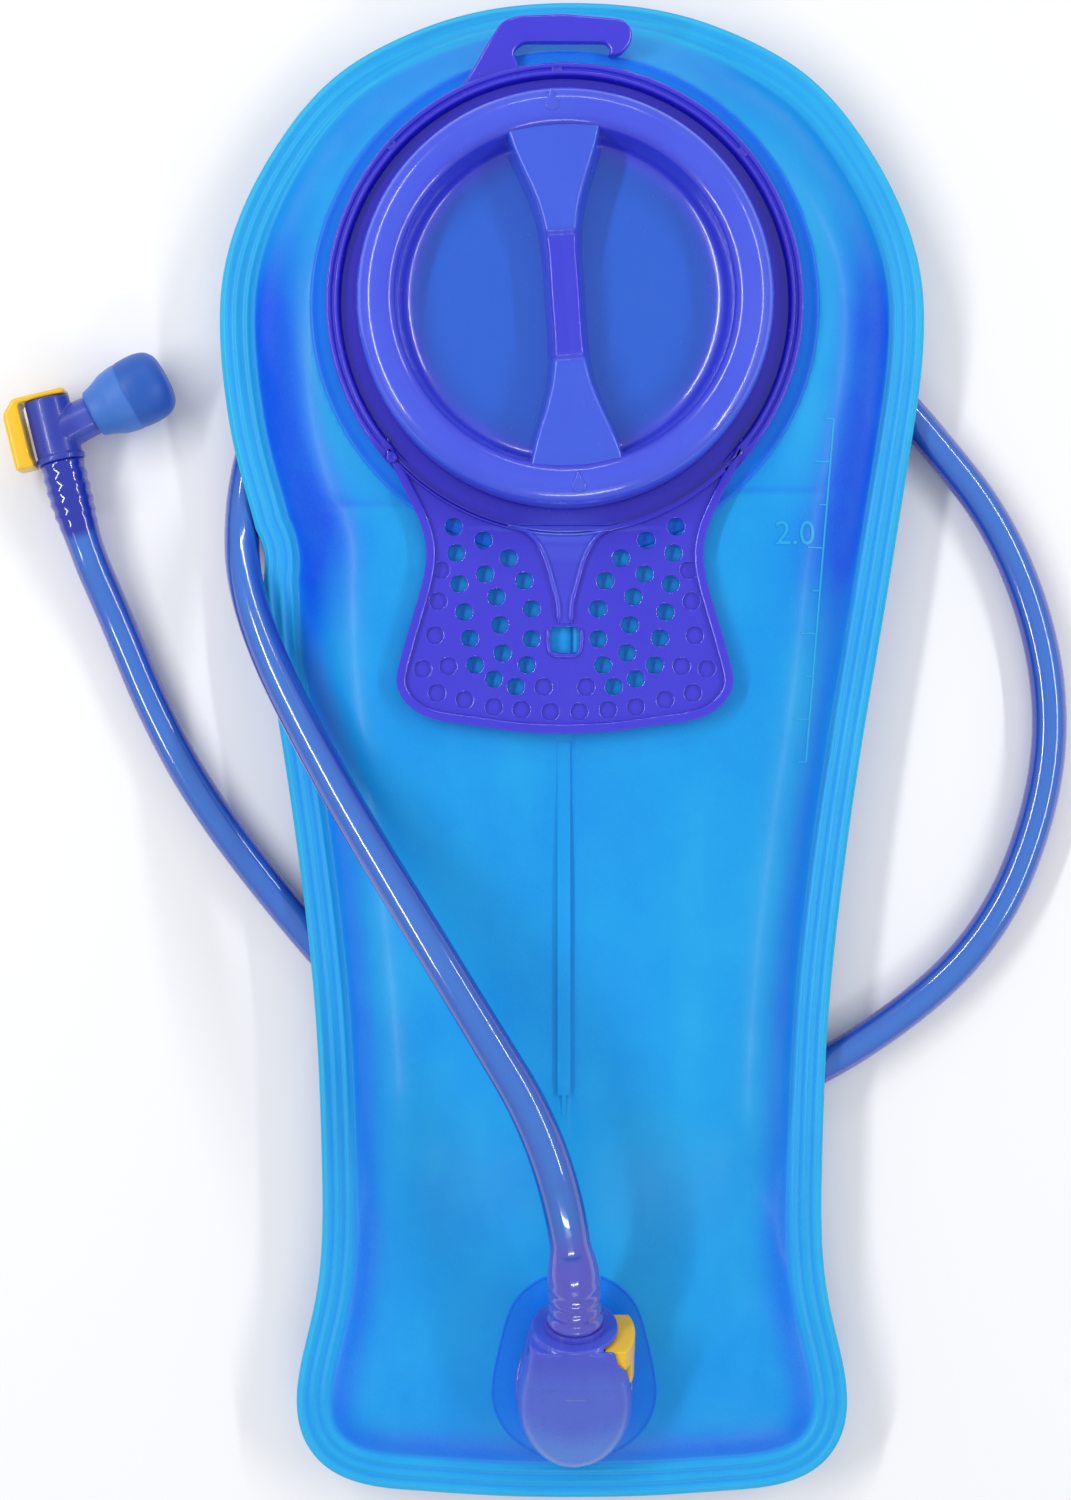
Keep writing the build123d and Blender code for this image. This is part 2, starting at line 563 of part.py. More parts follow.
def latch_spring():
    """The small spring behind the button, drawn at its pressed length."""
    low, high = SPRING_PLACE
    turns = 5
    spring = coil(1.15, 0.25, (high - low) / turns, turns)
    return on_plug_axis(Pos(low, 0, -SPRING_DEPTH) * Rot(0, 90, 0) * spring)


def valve_poppet():
    """The check valve's plunger: a pierced skirt and a disc that shuts the bore unplugged."""
    disc = rod(4.6, -SPIGOT_LENGTH - 2.0, -SPIGOT_LENGTH - 0.1)
    stem = rod(1.2, -SPIGOT_LENGTH - 4.6, -SPIGOT_LENGTH - 1.0)
    vents = [Rot(0, 0, 60 * i) * Pos(3.4, 0, -SPIGOT_LENGTH - 3) * extrude(Circle(0.8), 4) for i in range(6)]
    return on_plug_axis((disc + stem) - vents)


def poppet_spring():
    """The spring behind the check valve's plunger, pressed by the plug."""
    return on_plug_axis(Pos(0, 0, -SPIGOT_LENGTH - 4.6) * coil(2.2, 0.3, 0.8, 2.8))


def barb(length, direction):
    """Return a hose barb about Z with three sharp rings, going up or down from z = 0."""
    section = [(0, 0), (BARB_CORE_R, 0)]
    rings = 4
    start = length * 0.2
    pitch = (length - start) / rings
    for index in range(rings):
        foot = start + index * pitch
        section += [(BARB_CORE_R, foot), (BARB_RIDGE_R, foot), (BARB_CORE_R, foot + pitch * 0.8)]
    section += [(BARB_CORE_R, length), (0, length)]
    profile = Polyline(*[(x, direction * z) for x, z in section], close=True)
    return revolve(Plane.XZ * make_face(profile), Axis.Z)


def hose_plug():
    """The plug that clicks into the socket: spigot with a seal groove, flange and barb."""
    radius, thick = PLUG_FLANGE
    body = rod(radius, 0, thick) + rod(SPIGOT_R, -SPIGOT_LENGTH, 0.5)
    body += Pos(0, 0, thick - 0.2) * barb(BARB_LENGTH, 1)
    body -= ring(SPIGOT_R + 1, 3.6, -8.6, -6.8)
    body -= ring(SPIGOT_R + 1, 4.2, -LATCH_DEPTH - 1.3, -LATCH_DEPTH + 1.3)
    body -= rod(PLUG_BORE_R, -SPIGOT_LENGTH - 1, BARB_LENGTH + 3)
    return on_plug_axis(body)


def plug_o_ring():
    """The seal in the plug's groove."""
    return on_plug_axis(Torus(4.35, 0.75), 7.7)


def drink_tube():
    """The drinking hose, from the plug's flange to the valve's flange."""
    path, radii = route_path(0, len(HOSE_ROUTE) - 1)
    tube = along_route(Circle(HOSE_R) - Circle(HOSE_BORE_R), 0, len(HOSE_ROUTE) - 1)
    section = math.pi * (HOSE_R**2 - HOSE_BORE_R**2)
    ratio = tube.volume / (section * path.length)
    print("hose length", round(path.length, 1), "volume ratio", round(ratio, 4))
    print("hose radii", [round(radius) for radius in radii])
    return tube


# ---- shut-off valve --------------------------------------------------------------------------


def on_valve(shape):
    """Put a shape built about Z on the valve's barrel, Z up the barrel and X towards the stub."""
    across = (math.cos(math.radians(VALVE_LEAN)), math.sin(math.radians(VALVE_LEAN)), 0)
    return square_to(VALVE_FLANGE, VALVE_AXIS, across) * shape


def on_stub(shape):
    """Put a shape built about Z on the stub's axis, in the barrel's own frame."""
    return Pos(0, 0, STUB_START) * Rot(0, 90 - STUB_TILT, 0) * shape


def valve_body():
    """The elbow: barb for the hose, flange, barrel for the rotor and stub for the mouthpiece."""
    body = rod(FLANGE_R, 0, FLANGE_PLATE) + rod(BARREL_R, FLANGE_PLATE, BARREL_LENGTH)
    body += Pos(0, 0, 0.2) * barb(VALVE_BARB, -1)
    stub = on_stub(Pos(0, 0, 1) * loft([Circle(STUB_R[0]), Pos(0, 0, STUB_END - 1) * Circle(STUB_R[1])]))
    nipple = rod(NIPPLE_R, STUB_END - 1, NIPPLE_END)
    upright = (Align.CENTER, Align.CENTER, Align.MIN)
    nipple += Pos(0, 0, NIPPLE_END - 3) * Cone(NIPPLE_R + 0.6, NIPPLE_R, 2, align=upright)
    body += stub + on_stub(nipple)
    body -= rod(ROTOR_R + ROTOR_GAP, ROTOR_Z[0] - ROTOR_GAP, ROTOR_Z[1] + ROTOR_GAP)
    body -= rod(STEM_R + ROTOR_GAP, ROTOR_Z[1], BARREL_LENGTH + 1)
    body -= rod(VALVE_BORE_R, -VALVE_BARB - 1, ROTOR_Z[0])
    return on_valve(body - on_stub(rod(VALVE_BORE_R, 2, NIPPLE_END + 1)))


def valve_rotor():
    """The plug that turns with the lever: its side hole meets the stub only when open."""
    body = rod(ROTOR_R, *ROTOR_Z) + rod(STEM_R, ROTOR_Z[1], LEVER_TOP_Z - 1.5)
    for height in (4.3, 12.7):
        body -= ring(ROTOR_R + 1, ROTOR_R - 0.7, height - 0.6, height + 0.6)
    body -= rod(VALVE_BORE_R, ROTOR_Z[0] - 1, STUB_START + 1)
    return on_valve(body - on_stub(rod(VALVE_BORE_R, 0, 8)))


def rotor_o_rings():
    """The two seals on the rotor, as one group."""
    seal = Torus(ROTOR_R - 0.3, 0.38)
    return on_valve(Pos(0, 0, 4.3) * seal + Pos(0, 0, 12.7) * seal)


def shutoff_lever():
    """The yellow C-shaped lever: arm over the barrel's end, spine behind it, foot at the flange."""
    left, inner = LEVER_X
    side = Polyline(
        (left, 0.0),
        (left, 14.6),
        (-8.0, LEVER_TOP_Z),
        (5.4, LEVER_TOP_Z),
        (5.4, BARREL_LENGTH + 0.3),
        (inner, BARREL_LENGTH + 0.3),
        (inner, 2.1),
        (-6.5, 1.7),
        (-6.5, 0.0),
        close=True,
    )
    plate = Plane.XZ * make_face(side)
    lever = extrude(plate, LEVER_HALF_WIDTH, both=True)
    lever = fillet(lever.edges().filter_by(Axis.Z).group_by(Axis.X)[0], 1.2)
    return on_valve(lever)


def bite_valve():
    """The soft mouthpiece: a sleeve on the nipple and a bulb that opens at its slit when bitten."""
    tip = BITE_TIP
    bulb = [(5.3, 11.3), (5.6, 13.6), (8.0, 16.2), (8.8, 20), (8.6, 24.5), (7.4, 29.5), (5.2, 31.5)]
    outer = Polyline(*bulb, (3, tip))
    inner = Polyline((4.0, tip - BITE_WALL), (6.4, 26), (6.8, 22), (4.4, 19.2), (NIPPLE_R + 0.7, 18.6))
    hollow = NIPPLE_R + 0.7
    sleeve = Polyline((hollow, 18.6), (hollow, 15.2), (NIPPLE_R, 15.0), (NIPPLE_R, 11.3), (5.3, 11.3))
    cap = Polyline((3, tip), (0, tip), (0, tip - BITE_WALL), (4.0, tip - BITE_WALL))
    face = make_face([*outer.edges(), *cap.edges(), *inner.edges(), *sleeve.edges()])
    bulb = revolve(Plane.XZ * face, Axis.Z)
    slit = box((-3.4, 3.4), (-0.25, 0.25), (tip - 3, tip + 1))
    return on_valve(on_stub(bulb - slit))


NODES = {
    "front_film": front_film,
    "back_film": back_film,
    "centre_baffle": centre_baffle,
    "port_collar": port_collar,
    "port_frame": port_frame,
    "cap_gasket": cap_gasket,
    "screw_cap": screw_cap,
    "outlet_socket": outlet_socket,
    "latch_button": latch_button,
    "latch_spring": latch_spring,
    "valve_poppet": valve_poppet,
    "poppet_spring": poppet_spring,
    "hose_plug": hose_plug,
    "plug_o_ring": plug_o_ring,
    "drink_tube": drink_tube,
    "valve_body": valve_body,
    "valve_rotor": valve_rotor,
    "rotor_o_rings": rotor_o_rings,
    "shutoff_lever": shutoff_lever,
    "bite_valve": bite_valve,
}

for name, make in NODES.items():
    export_step(make(), f"parts/{name}.step")
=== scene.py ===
"""Looks of a two-litre hydration bladder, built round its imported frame.

Everything is in metres. The bag lies on its back with its filler port towards +Y; the hose runs
from the outlet over the left edge, round under the bag and back up to the shut-off valve.
"""

import json
import logging
import math
from dataclasses import dataclass, field
from enum import Enum

import bmesh
import bpy
import numpy as np
from mathutils import Matrix, Vector


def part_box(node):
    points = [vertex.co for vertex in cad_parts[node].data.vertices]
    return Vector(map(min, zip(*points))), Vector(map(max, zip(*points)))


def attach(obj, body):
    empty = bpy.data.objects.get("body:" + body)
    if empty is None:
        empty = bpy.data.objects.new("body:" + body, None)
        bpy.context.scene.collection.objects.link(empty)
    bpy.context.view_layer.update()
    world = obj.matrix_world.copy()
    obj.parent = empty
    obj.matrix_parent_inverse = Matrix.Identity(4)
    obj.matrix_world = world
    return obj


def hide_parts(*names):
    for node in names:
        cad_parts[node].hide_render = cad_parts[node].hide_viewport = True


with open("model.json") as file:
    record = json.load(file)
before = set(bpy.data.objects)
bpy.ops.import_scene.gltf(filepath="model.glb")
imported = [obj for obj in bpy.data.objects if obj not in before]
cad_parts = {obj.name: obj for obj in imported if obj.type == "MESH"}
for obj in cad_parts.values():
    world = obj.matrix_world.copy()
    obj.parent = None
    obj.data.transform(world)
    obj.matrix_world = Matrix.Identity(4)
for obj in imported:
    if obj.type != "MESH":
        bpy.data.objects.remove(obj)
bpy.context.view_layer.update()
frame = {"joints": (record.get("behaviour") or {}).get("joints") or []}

LOG = logging.getLogger("bladder")
Point = tuple[float, float, float]
Flat = tuple[float, float]
Colour = tuple[float, float, float, float]
Array = np.ndarray
Piece = bpy.types.Object
Mesh = bpy.types.Mesh
Material = bpy.types.Material
Socket = bpy.types.NodeSocket
# Red lays the deep colour: painted shade on the film, frame, cap, hose and bite valve, and darker plastic
# elsewhere; on the film green also lays a painted highlight.
TINT = "tint"  # the colour attribute that finishes read: red deepens, green pales, blue marks plates

# Corners of the hose's route, from the plug's flange to the valve's flange.
HOSE_ROUTE: list[Point] = [
    (0.0005, -0.14137, 0.03173),
    (0.0005, -0.10484, 0.05034),
    (-0.0305, -0.0535, 0.050),
    (-0.061, -0.006, 0.0345),
    (-0.0830, 0.036, 0.0195),
    (-0.0855, 0.066, 0.0045),
    (-0.0775, 0.092, 0.0045),
    (-0.060, 0.114, 0.0045),
    (-0.033, 0.130, 0.0045),
    (0.002, 0.1355, 0.0045),
    (0.037, 0.129, 0.0045),
    (0.065, 0.111, 0.0045),
    (0.090, 0.084, 0.0045),
    (0.112, 0.0565, 0.0045),
    (0.1238, 0.021, 0.0045),
    (0.1228, -0.012, 0.0045),
    (0.108, -0.049, 0.0045),
    (0.077, -0.0755, 0.0045),
    (0.042, -0.0925, 0.0045),
    (0.014, -0.1015, 0.0045),
    (-0.016, -0.0955, 0.0045),
    (-0.045, -0.0735, 0.0045),
    (-0.072, -0.0435, 0.0045),
    (-0.095, -0.0135, 0.0045),
    (-0.108, 0.0105, 0.0045),
    (-0.1175, 0.034, 0.0045),
    (-0.12603, 0.05438, 0.009),
    (-0.1308, 0.0738, 0.009),
]

# Right half of the bag's outline, from the top to the bottom; the left half mirrors it.
RIGHT_EDGE: list[Flat] = [
    (0.0, 0.1905), (0.028, 0.1873), (0.0451, 0.181), (0.060, 0.172), (0.0754, 0.154), (0.0848, 0.136),
    (0.0893, 0.1186), (0.0898, 0.1097), (0.0859, 0.074), (0.0801, 0.038), (0.0741, 0.0026),
    (0.069, -0.033), (0.0653, -0.069), (0.0638, -0.1046), (0.0654, -0.140), (0.0688, -0.155),
    (0.0702, -0.166), (0.0683, -0.1757), (0.0631, -0.1825), (0.0554, -0.1865), (0.040, -0.1888),
    (0.020, -0.1901), (0.0, -0.1905),
]  # fmt: skip


# ---- meshes ------------------------------------------------------------------------------------


def fade(low: float, high: float, value: Array) -> Array:
    """Return 0 below low, 1 above high and a smooth step between them."""
    along = np.clip((value - low) / (high - low), 0.0, 1.0)
    return along * along * (3.0 - 2.0 * along)


def bell(value: Array, centre: float, width: float) -> Array:
    """Return a bell curve of height 1 about centre."""
    return np.exp(-(((value - centre) / width) ** 2))


def rounded(points: list[Flat], radius: float, steps: int = 5, closed: bool = True) -> list[Flat]:
    """Round the corners of a flat outline.

    Args:
        points: the outline's corners in order.
        radius: how far from each corner the rounding starts, at most.
        steps: points that each corner becomes.
        closed: whether the outline's end joins its start.

    Returns:
        The rounded outline.
    """
    made: list[Flat] = []
    count = len(points)
    for index, corner in enumerate(points):
        if not closed and index in (0, count - 1):
            made.append(corner)
            continue
        here = Vector(corner)
        before = Vector(points[index - 1]) - here
        after = Vector(points[(index + 1) % count]) - here
        reach = min(radius, 0.45 * before.length, 0.45 * after.length)
        first = here + before.normalized() * reach
        last = here + after.normalized() * reach
        for step in range(steps):
            t = step / (steps - 1)
            place = first * (1 - t) ** 2 + here * 2 * t * (1 - t) + last * t * t
            made.append((place.x, place.y))
    return made


def smooth_line(points: list[Flat], count: int, closed: bool = False) -> Array:
    """Return count points along a natural cubic spline through the given ones.

    Args:
        points: the places that the spline goes through.
        count: how many points to return, evenly spaced along it.
        closed: whether the spline is a loop.

    Returns:
        An array of count rows.
    """
    places = np.array(points, float)
    if closed:
        places = np.vstack([places[-4:], places, places[:5]])
    steps = np.linalg.norm(np.diff(places, axis=0), axis=1)
    along = np.concatenate([[0.0], np.cumsum(steps)])
    size = len(places)
    matrix = np.eye(size)
    right = np.zeros_like(places)
    for i in range(1, size - 1):
        matrix[i, i - 1 : i + 2] = steps[i - 1], 2 * (steps[i - 1] + steps[i]), steps[i]
        slope_after = (places[i + 1] - places[i]) / steps[i]
        right[i] = 6 * (slope_after - (places[i] - places[i - 1]) / steps[i - 1])
    bend = np.linalg.solve(matrix, right)
    start, end = (along[4], along[-5]) if closed else (along[0], along[-1])
    for samples in (count * 8, count):
        where = np.linspace(start, end, samples, endpoint=not closed)
        if samples == count:
            travelled = np.concatenate([[0.0], np.cumsum(np.linalg.norm(np.diff(dense, axis=0), axis=1))])
            total = travelled[-1] + (np.linalg.norm(dense[0] - dense[-1]) if closed else 0.0)
            wanted = np.linspace(0.0, total, count, endpoint=not closed)
            where = np.interp(wanted, travelled, dense_where)
        span = np.clip(np.searchsorted(along, where, side="right") - 1, 0, size - 2)
        h = steps[span][:, None]
        a = (along[span + 1][:, None] - where[:, None]) / h
        b = 1 - a
        curve = (a**3 - a) * bend[span] + (b**3 - b) * bend[span + 1]
        line = a * places[span] + b * places[span + 1] + curve * h * h / 6
        dense, dense_where = line, where
    return line


class Shape:
    """Points, faces and tints of one piece, gathered before it becomes an object."""

    def __init__(self) -> None:
        """Start empty."""
        self.points: list[Array] = []
        self.faces: list[tuple[int, ...]] = []
        self.tints: list[Array] = []
        self.count = 0

    def add(self, points: Array, faces: list[tuple[int, ...]], tint: Array | Colour) -> None:
        """Add loose points and the faces on them.

        Args:
            points: one row for each point.
            faces: indices into those points.
            tint: one row of four for each point, or one for them all.
        """
        self.points.append(np.asarray(points, float))
        self.faces += [tuple(index + self.count for index in face) for face in faces]
        self.tints.append(np.broadcast_to(np.asarray(tint, float), (len(points), 4)))
        self.count += len(points)

    def grid(self, rows: Array, tint: Array | Colour, wrap: bool, loop: bool = False) -> None:
        """Add a net of four-sided faces.

        Args:
            rows: an array of rows, columns and three.
            tint: tints of the same rows and columns, or one for them all.
            wrap: whether each row joins its own start.
            loop: whether the last row joins the first.
        """
        height, width = rows.shape[:2]
        faces = []
        for i in range(height if loop else height - 1):
            for j in range(width if wrap else width - 1):
                across, up = (j + 1) % width, (i + 1) % height
                faces.append((i * width + j, i * width + across, up * width + across, up * width + j))
        shade = np.asarray(tint, float)
        if shade.ndim == 3:
            shade = shade.reshape(-1, 4)
        self.add(rows.reshape(-1, 3), faces, shade)

    def lathe(
        self,
        profile: list[Flat],
        place: Matrix,
        tint: list[Colour] | Colour = (0, 0, 0, 1),
        sides: int = 96,
    ) -> None:
        """Turn a profile of (radius, height) pairs about the Z axis of a place.

        Args:
            profile: the pairs in order; pairs on the axis close the form.
            place: where the axis is.
            tint: one tint for each pair, or one for them all.
            sides: how many faces go round.
        """
        angles = np.linspace(0, math.tau, sides, endpoint=False)
        radii = np.array([pair[0] for pair in profile])[:, None]
        heights = np.array([pair[1] for pair in profile])[:, None]
        rows = np.stack([radii * np.cos(angles), radii * np.sin(angles), heights + 0 * angles], axis=2)
        rows = place_points(rows.reshape(-1, 3), place).reshape(rows.shape)
        shade = np.asarray(tint, float)
        if shade.ndim == 2:
            shade = np.repeat(shade[:, None, :], sides, axis=1)
        self.grid(rows, shade, wrap=True)

    def mesh(self, name: str, merge: float = 1e-6) -> Mesh:
        """Return the gathered mesh, with points nearer than merge made one."""
        mesh = bpy.data.meshes.new(name)
        mesh.from_pydata(np.vstack(self.points).tolist(), [], self.faces)
        layer = mesh.color_attributes.new(TINT, "FLOAT_COLOR", "POINT")
        layer.data.foreach_set("color", np.vstack(self.tints).astype(np.float32).ravel())
        clean(mesh, merge)
        return mesh

    def build(self, name: str, finish: Material, merge: float = 1e-6) -> Piece:
        """Make the object.

        Args:
            name: the piece's name.
            finish: its material.
            merge: points nearer than this become one.

        Returns:
            The object, linked to the scene and shaded smooth.
        """
        return make_object(name, self.mesh(name, merge), finish)


def place_points(points: Array, place: Matrix) -> Array:
    """Return points carried to a place."""
    matrix = np.array(place)
    return points @ matrix[:3, :3].T + matrix[:3, 3]


def clean(mesh: Mesh, merge: float) -> None:
    """Merge a mesh's doubled points, drop faces of no area and turn its faces outwards."""
    work = bmesh.new()
    work.from_mesh(mesh)
    bmesh.ops.remove_doubles(work, verts=work.verts, dist=merge)
    bmesh.ops.dissolve_degenerate(work, dist=merge, edges=work.edges)
    bmesh.ops.recalc_face_normals(work, faces=work.faces)
    work.to_mesh(mesh)
    work.free()


def make_object(name: str, mesh: Mesh, finish: Material) -> Piece:
    """Link a mesh to the scene as a smooth object with one finish."""
    mesh.polygons.foreach_set("use_smooth", [True] * len(mesh.polygons))
    mesh.materials.clear()
    mesh.materials.append(finish)
    piece = bpy.data.objects.new(name, mesh)
    bpy.context.scene.collection.objects.link(piece)
    return piece


def even_normals(piece: Piece) -> None:
    """Keep flat faces flat beside small rounded edges."""
    weigh = piece.modifiers.new("even_normals", "WEIGHTED_NORMAL")
    weigh.mode = "FACE_AREA"
    weigh.weight = 60


def solid_copy(node: str, name: str, voxel: float, passes: int, finish: Material) -> Piece:
    """Copy a frame node's form with its edges softened, as they come out of a mould.

    Args:
        node: the frame node that is copied.
        name: the new piece's name.
        voxel: fineness of the new mesh.
        passes: how often the mesh is smoothed.
        finish: its material.

    Returns:
        The softened piece.
    """
    source = bpy.data.objects[node]
    copy = bpy.data.objects.new(name, source.data.copy())
    bpy.context.scene.collection.objects.link(copy)
    remesh = copy.modifiers.new("remesh", "REMESH")
    remesh.mode = "VOXEL"
    remesh.voxel_size = voxel
    relax = copy.modifiers.new("relax", "SMOOTH")
    relax.factor = 0.5
    relax.iterations = passes
    bpy.context.view_layer.update()
    evaluated = copy.evaluated_get(bpy.context.evaluated_depsgraph_get())
    mesh = bpy.data.meshes.new_from_object(evaluated)
    bpy.data.objects.remove(copy)
    mesh.name = name
    return make_object(name, mesh, finish)


def tint_by(piece: Piece, rule) -> None:
    """Write a piece's tint attribute from its points.

    Args:
        piece: the object.
        rule: takes an array of points and returns a row of four for each.
    """
    mesh = piece.data
    points = np.empty(len(mesh.vertices) * 3)
    mesh.vertices.foreach_get("co", points)
    layer = mesh.color_attributes.get(TINT) or mesh.color_attributes.new(TINT, "FLOAT_COLOR", "POINT")
    layer.data.foreach_set("color", rule(points.reshape(-1, 3)).astype(np.float32).ravel())


def rounded_plate(loops: list[list[Flat]], low: float, high: float, edge: float) -> Mesh:
    """Make a plate with rounded edges from its outline and its holes.

    Args:
        loops: closed outlines; those inside another are holes.
        low: height of its underside.
        high: height of its top.
        edge: radius of the rounded edges.

    Returns:
        The plate's mesh.
    """
    curve = bpy.data.curves.new("plate", "CURVE")
    curve.dimensions = "2D"
    curve.fill_mode = "BOTH"
    curve.extrude = (high - low) / 2 - edge
    curve.bevel_depth = edge
    curve.bevel_resolution = 2
    curve.offset = -edge
    for index, loop in enumerate(loops):
        area = sum(a[0] * b[1] - b[0] * a[1] for a, b in zip(loop, loop[1:] + loop[:1]))
        wanted = 1 if index == 0 else -1
        ordered = loop if area * wanted > 0 else loop[::-1]
        spline = curve.splines.new("POLY")
        spline.points.add(len(ordered) - 1)
        for point, (x, y) in zip(spline.points, ordered):
            point.co = (x, y, 0, 1)
        spline.use_cyclic_u = True
    holder = bpy.data.objects.new("plate", curve)
    mesh = bpy.data.meshes.new_from_object(holder)
    mesh.transform(Matrix.Translation((0, 0, (low + high) / 2)))
    bpy.data.objects.remove(holder)
    bpy.data.curves.remove(curve)
    return mesh


def joined(name: str, pieces: list[Mesh], place: Matrix, finish: Material) -> Piece:
    """Put several meshes together as one object at a place."""
    work = bmesh.new()
    for mesh in pieces:
        work.from_mesh(mesh)
        bpy.data.meshes.remove(mesh)
    whole = bpy.data.meshes.new(name)
    work.to_mesh(whole)
    work.free()
    whole.transform(place)
    return make_object(name, whole, finish)


# ---- finishes ----------------------------------------------------------------------------------


class Nodes:
    """A material's node tree, built with short calls."""

    def __init__(self, name: str) -> None:
        """Start a material with one main shader."""
        self.material = bpy.data.materials.new(name)
        self.material.use_nodes = True
        self.tree = self.material.node_tree
        self.shader = self.tree.nodes["Principled BSDF"]
        self.place = self.node("ShaderNodeTexCoord").outputs["Object"]

    def node(self, kind: str, **settings) -> bpy.types.Node:
        """Add a node and set its properties."""
        made = self.tree.nodes.new(kind)
        for key, value in settings.items():
            setattr(made, key, value)
        return made

    def put(self, target: Socket, value) -> None:
        """Link a socket to another, or set its value."""
        if isinstance(value, Socket):
            self.tree.links.new(value, target)
        else:
            target.default_value = value

    def set(self, **values) -> None:
        """Set or link the main shader's sockets, whose names are written with underscores."""
        for key, value in values.items():
            self.put(self.shader.inputs[key.replace("_", " ")], value)

    def noise(self, scale: float, detail: float = 2.0, stretch: Point = (1, 1, 1)) -> Socket:
        """Return a noise of so many features for each metre."""
        mapping = self.node("ShaderNodeMapping")
        self.put(mapping.inputs["Vector"], self.place)
        mapping.inputs["Scale"].default_value = stretch
        made = self.node("ShaderNodeTexNoise")
        self.put(made.inputs["Vector"], mapping.outputs["Vector"])
        made.inputs["Scale"].default_value = scale
        made.inputs["Detail"].default_value = detail
        return made.outputs["Fac"]

    def span(self, value: Socket, low: float, high: float, to: Flat = (0, 1)) -> Socket:
        """Return a value carried from one range to another, clamped."""
        made = self.node("ShaderNodeMapRange")
        self.put(made.inputs["Value"], value)
        for key, number in zip(("From Min", "From Max", "To Min", "To Max"), (low, high, *to)):
            made.inputs[key].default_value = number
        return made.outputs["Result"]

    def maths(self, operation: str, a, b) -> Socket:
        """Return the result of a sum on two values."""
        made = self.node("ShaderNodeMath", operation=operation)
        self.put(made.inputs[0], a)
        self.put(made.inputs[1], b)
        return made.outputs[0]

    def mix(self, factor, a, b) -> Socket:
        """Return a colour between two others."""
        made = self.node("ShaderNodeMix", data_type="RGBA")
        self.put(made.inputs[0], factor)
        self.put(made.inputs[6], a)
        self.put(made.inputs[7], b)
        return made.outputs[2]

    def tint(self) -> tuple[Socket, Socket, Socket]:
        """Return the piece's tint attribute as three values."""
        read = self.node("ShaderNodeAttribute", attribute_name=TINT)
        parts = self.node("ShaderNodeSeparateColor")
        self.put(parts.inputs[0], read.outputs["Color"])
        return parts.outputs[0], parts.outputs[1], parts.outputs[2]

    def bump(self, height, distance: float, strength: float, normal=None) -> Socket:
        """Return a normal that follows a height."""
        made = self.node("ShaderNodeBump")
        made.inputs["Strength"].default_value = strength
        made.inputs["Distance"].default_value = distance
        self.put(made.inputs["Height"], height)
        if normal is not None:
            self.put(made.inputs["Normal"], normal)
        return made.outputs["Normal"]


@dataclass(frozen=True)
class FilmFinish:
    """Clear blue film with a fine satin emboss; its tint lays painted shade where it slopes away and a
    painted highlight streak.
    """

    name: str = "bag_film"
    azure: Colour = (0.006, 0.31, 0.84, 1)
    bright: Colour = (0.014, 0.40, 0.87, 1)
    # Deep: painted shade where the film slopes away, in its crease, in its band's grooves and beside the
    # weld.
    deep: Colour = (0.002, 0.078, 0.84, 1)
    # Pale: the band's own paler colour, also laid as a painted highlight streak inside the band.
    pale: Colour = (0.030, 0.50, 0.88, 1)
    plate: Colour = (0.004, 0.19, 0.85, 1)

    def build(self) -> Material:
        """Return the material."""
        n = Nodes(self.name)
        deep, pale, plate = n.tint()
        clouds = n.span(n.noise(28.0, 4.0), 0.38, 0.68)
        base = n.mix(n.maths("MULTIPLY", clouds, 0.7), self.azure, self.bright)
        streaks = n.span(n.noise(60.0, 3.0, (1.0, 0.35, 1.0)), 0.5, 0.75)
        base = n.mix(n.maths("MULTIPLY", streaks, 0.25), base, self.pale)
        base = n.mix(plate, base, self.plate)
        uneven = n.span(n.noise(45.0, 3.0), 0.2, 0.8, (0.75, 1.25))
        # The tint's red lays painted shade in the deep colour; its green lays the band's pale colour and a
        # painted highlight.
        base = n.mix(n.maths("MULTIPLY", deep, uneven), base, self.deep)
        base = n.mix(n.maths("MULTIPLY", pale, uneven), base, self.pale)
        grain = n.noise(2600.0, 2.0)
        n.set(Base_Color=n.mix(n.span(grain, 0.35, 0.75, (0, 0.12)), base, self.pale))
        ripple = n.bump(n.noise(140.0, 4.0), 0.0012, 0.10)
        n.set(Normal=n.bump(grain, 0.00012, 0.35, ripple))
        n.set(Roughness=n.span(n.noise(90.0, 3.0), 0.3, 0.7, (0.34, 0.46)))
        n.set(Subsurface_Weight=0.12, Subsurface_Radius=(0.2, 0.6, 1.0), Subsurface_Scale=0.006)
        n.set(Specular_IOR_Level=0.22, Coat_Weight=0.10, Coat_Roughness=0.22)
        return n.material


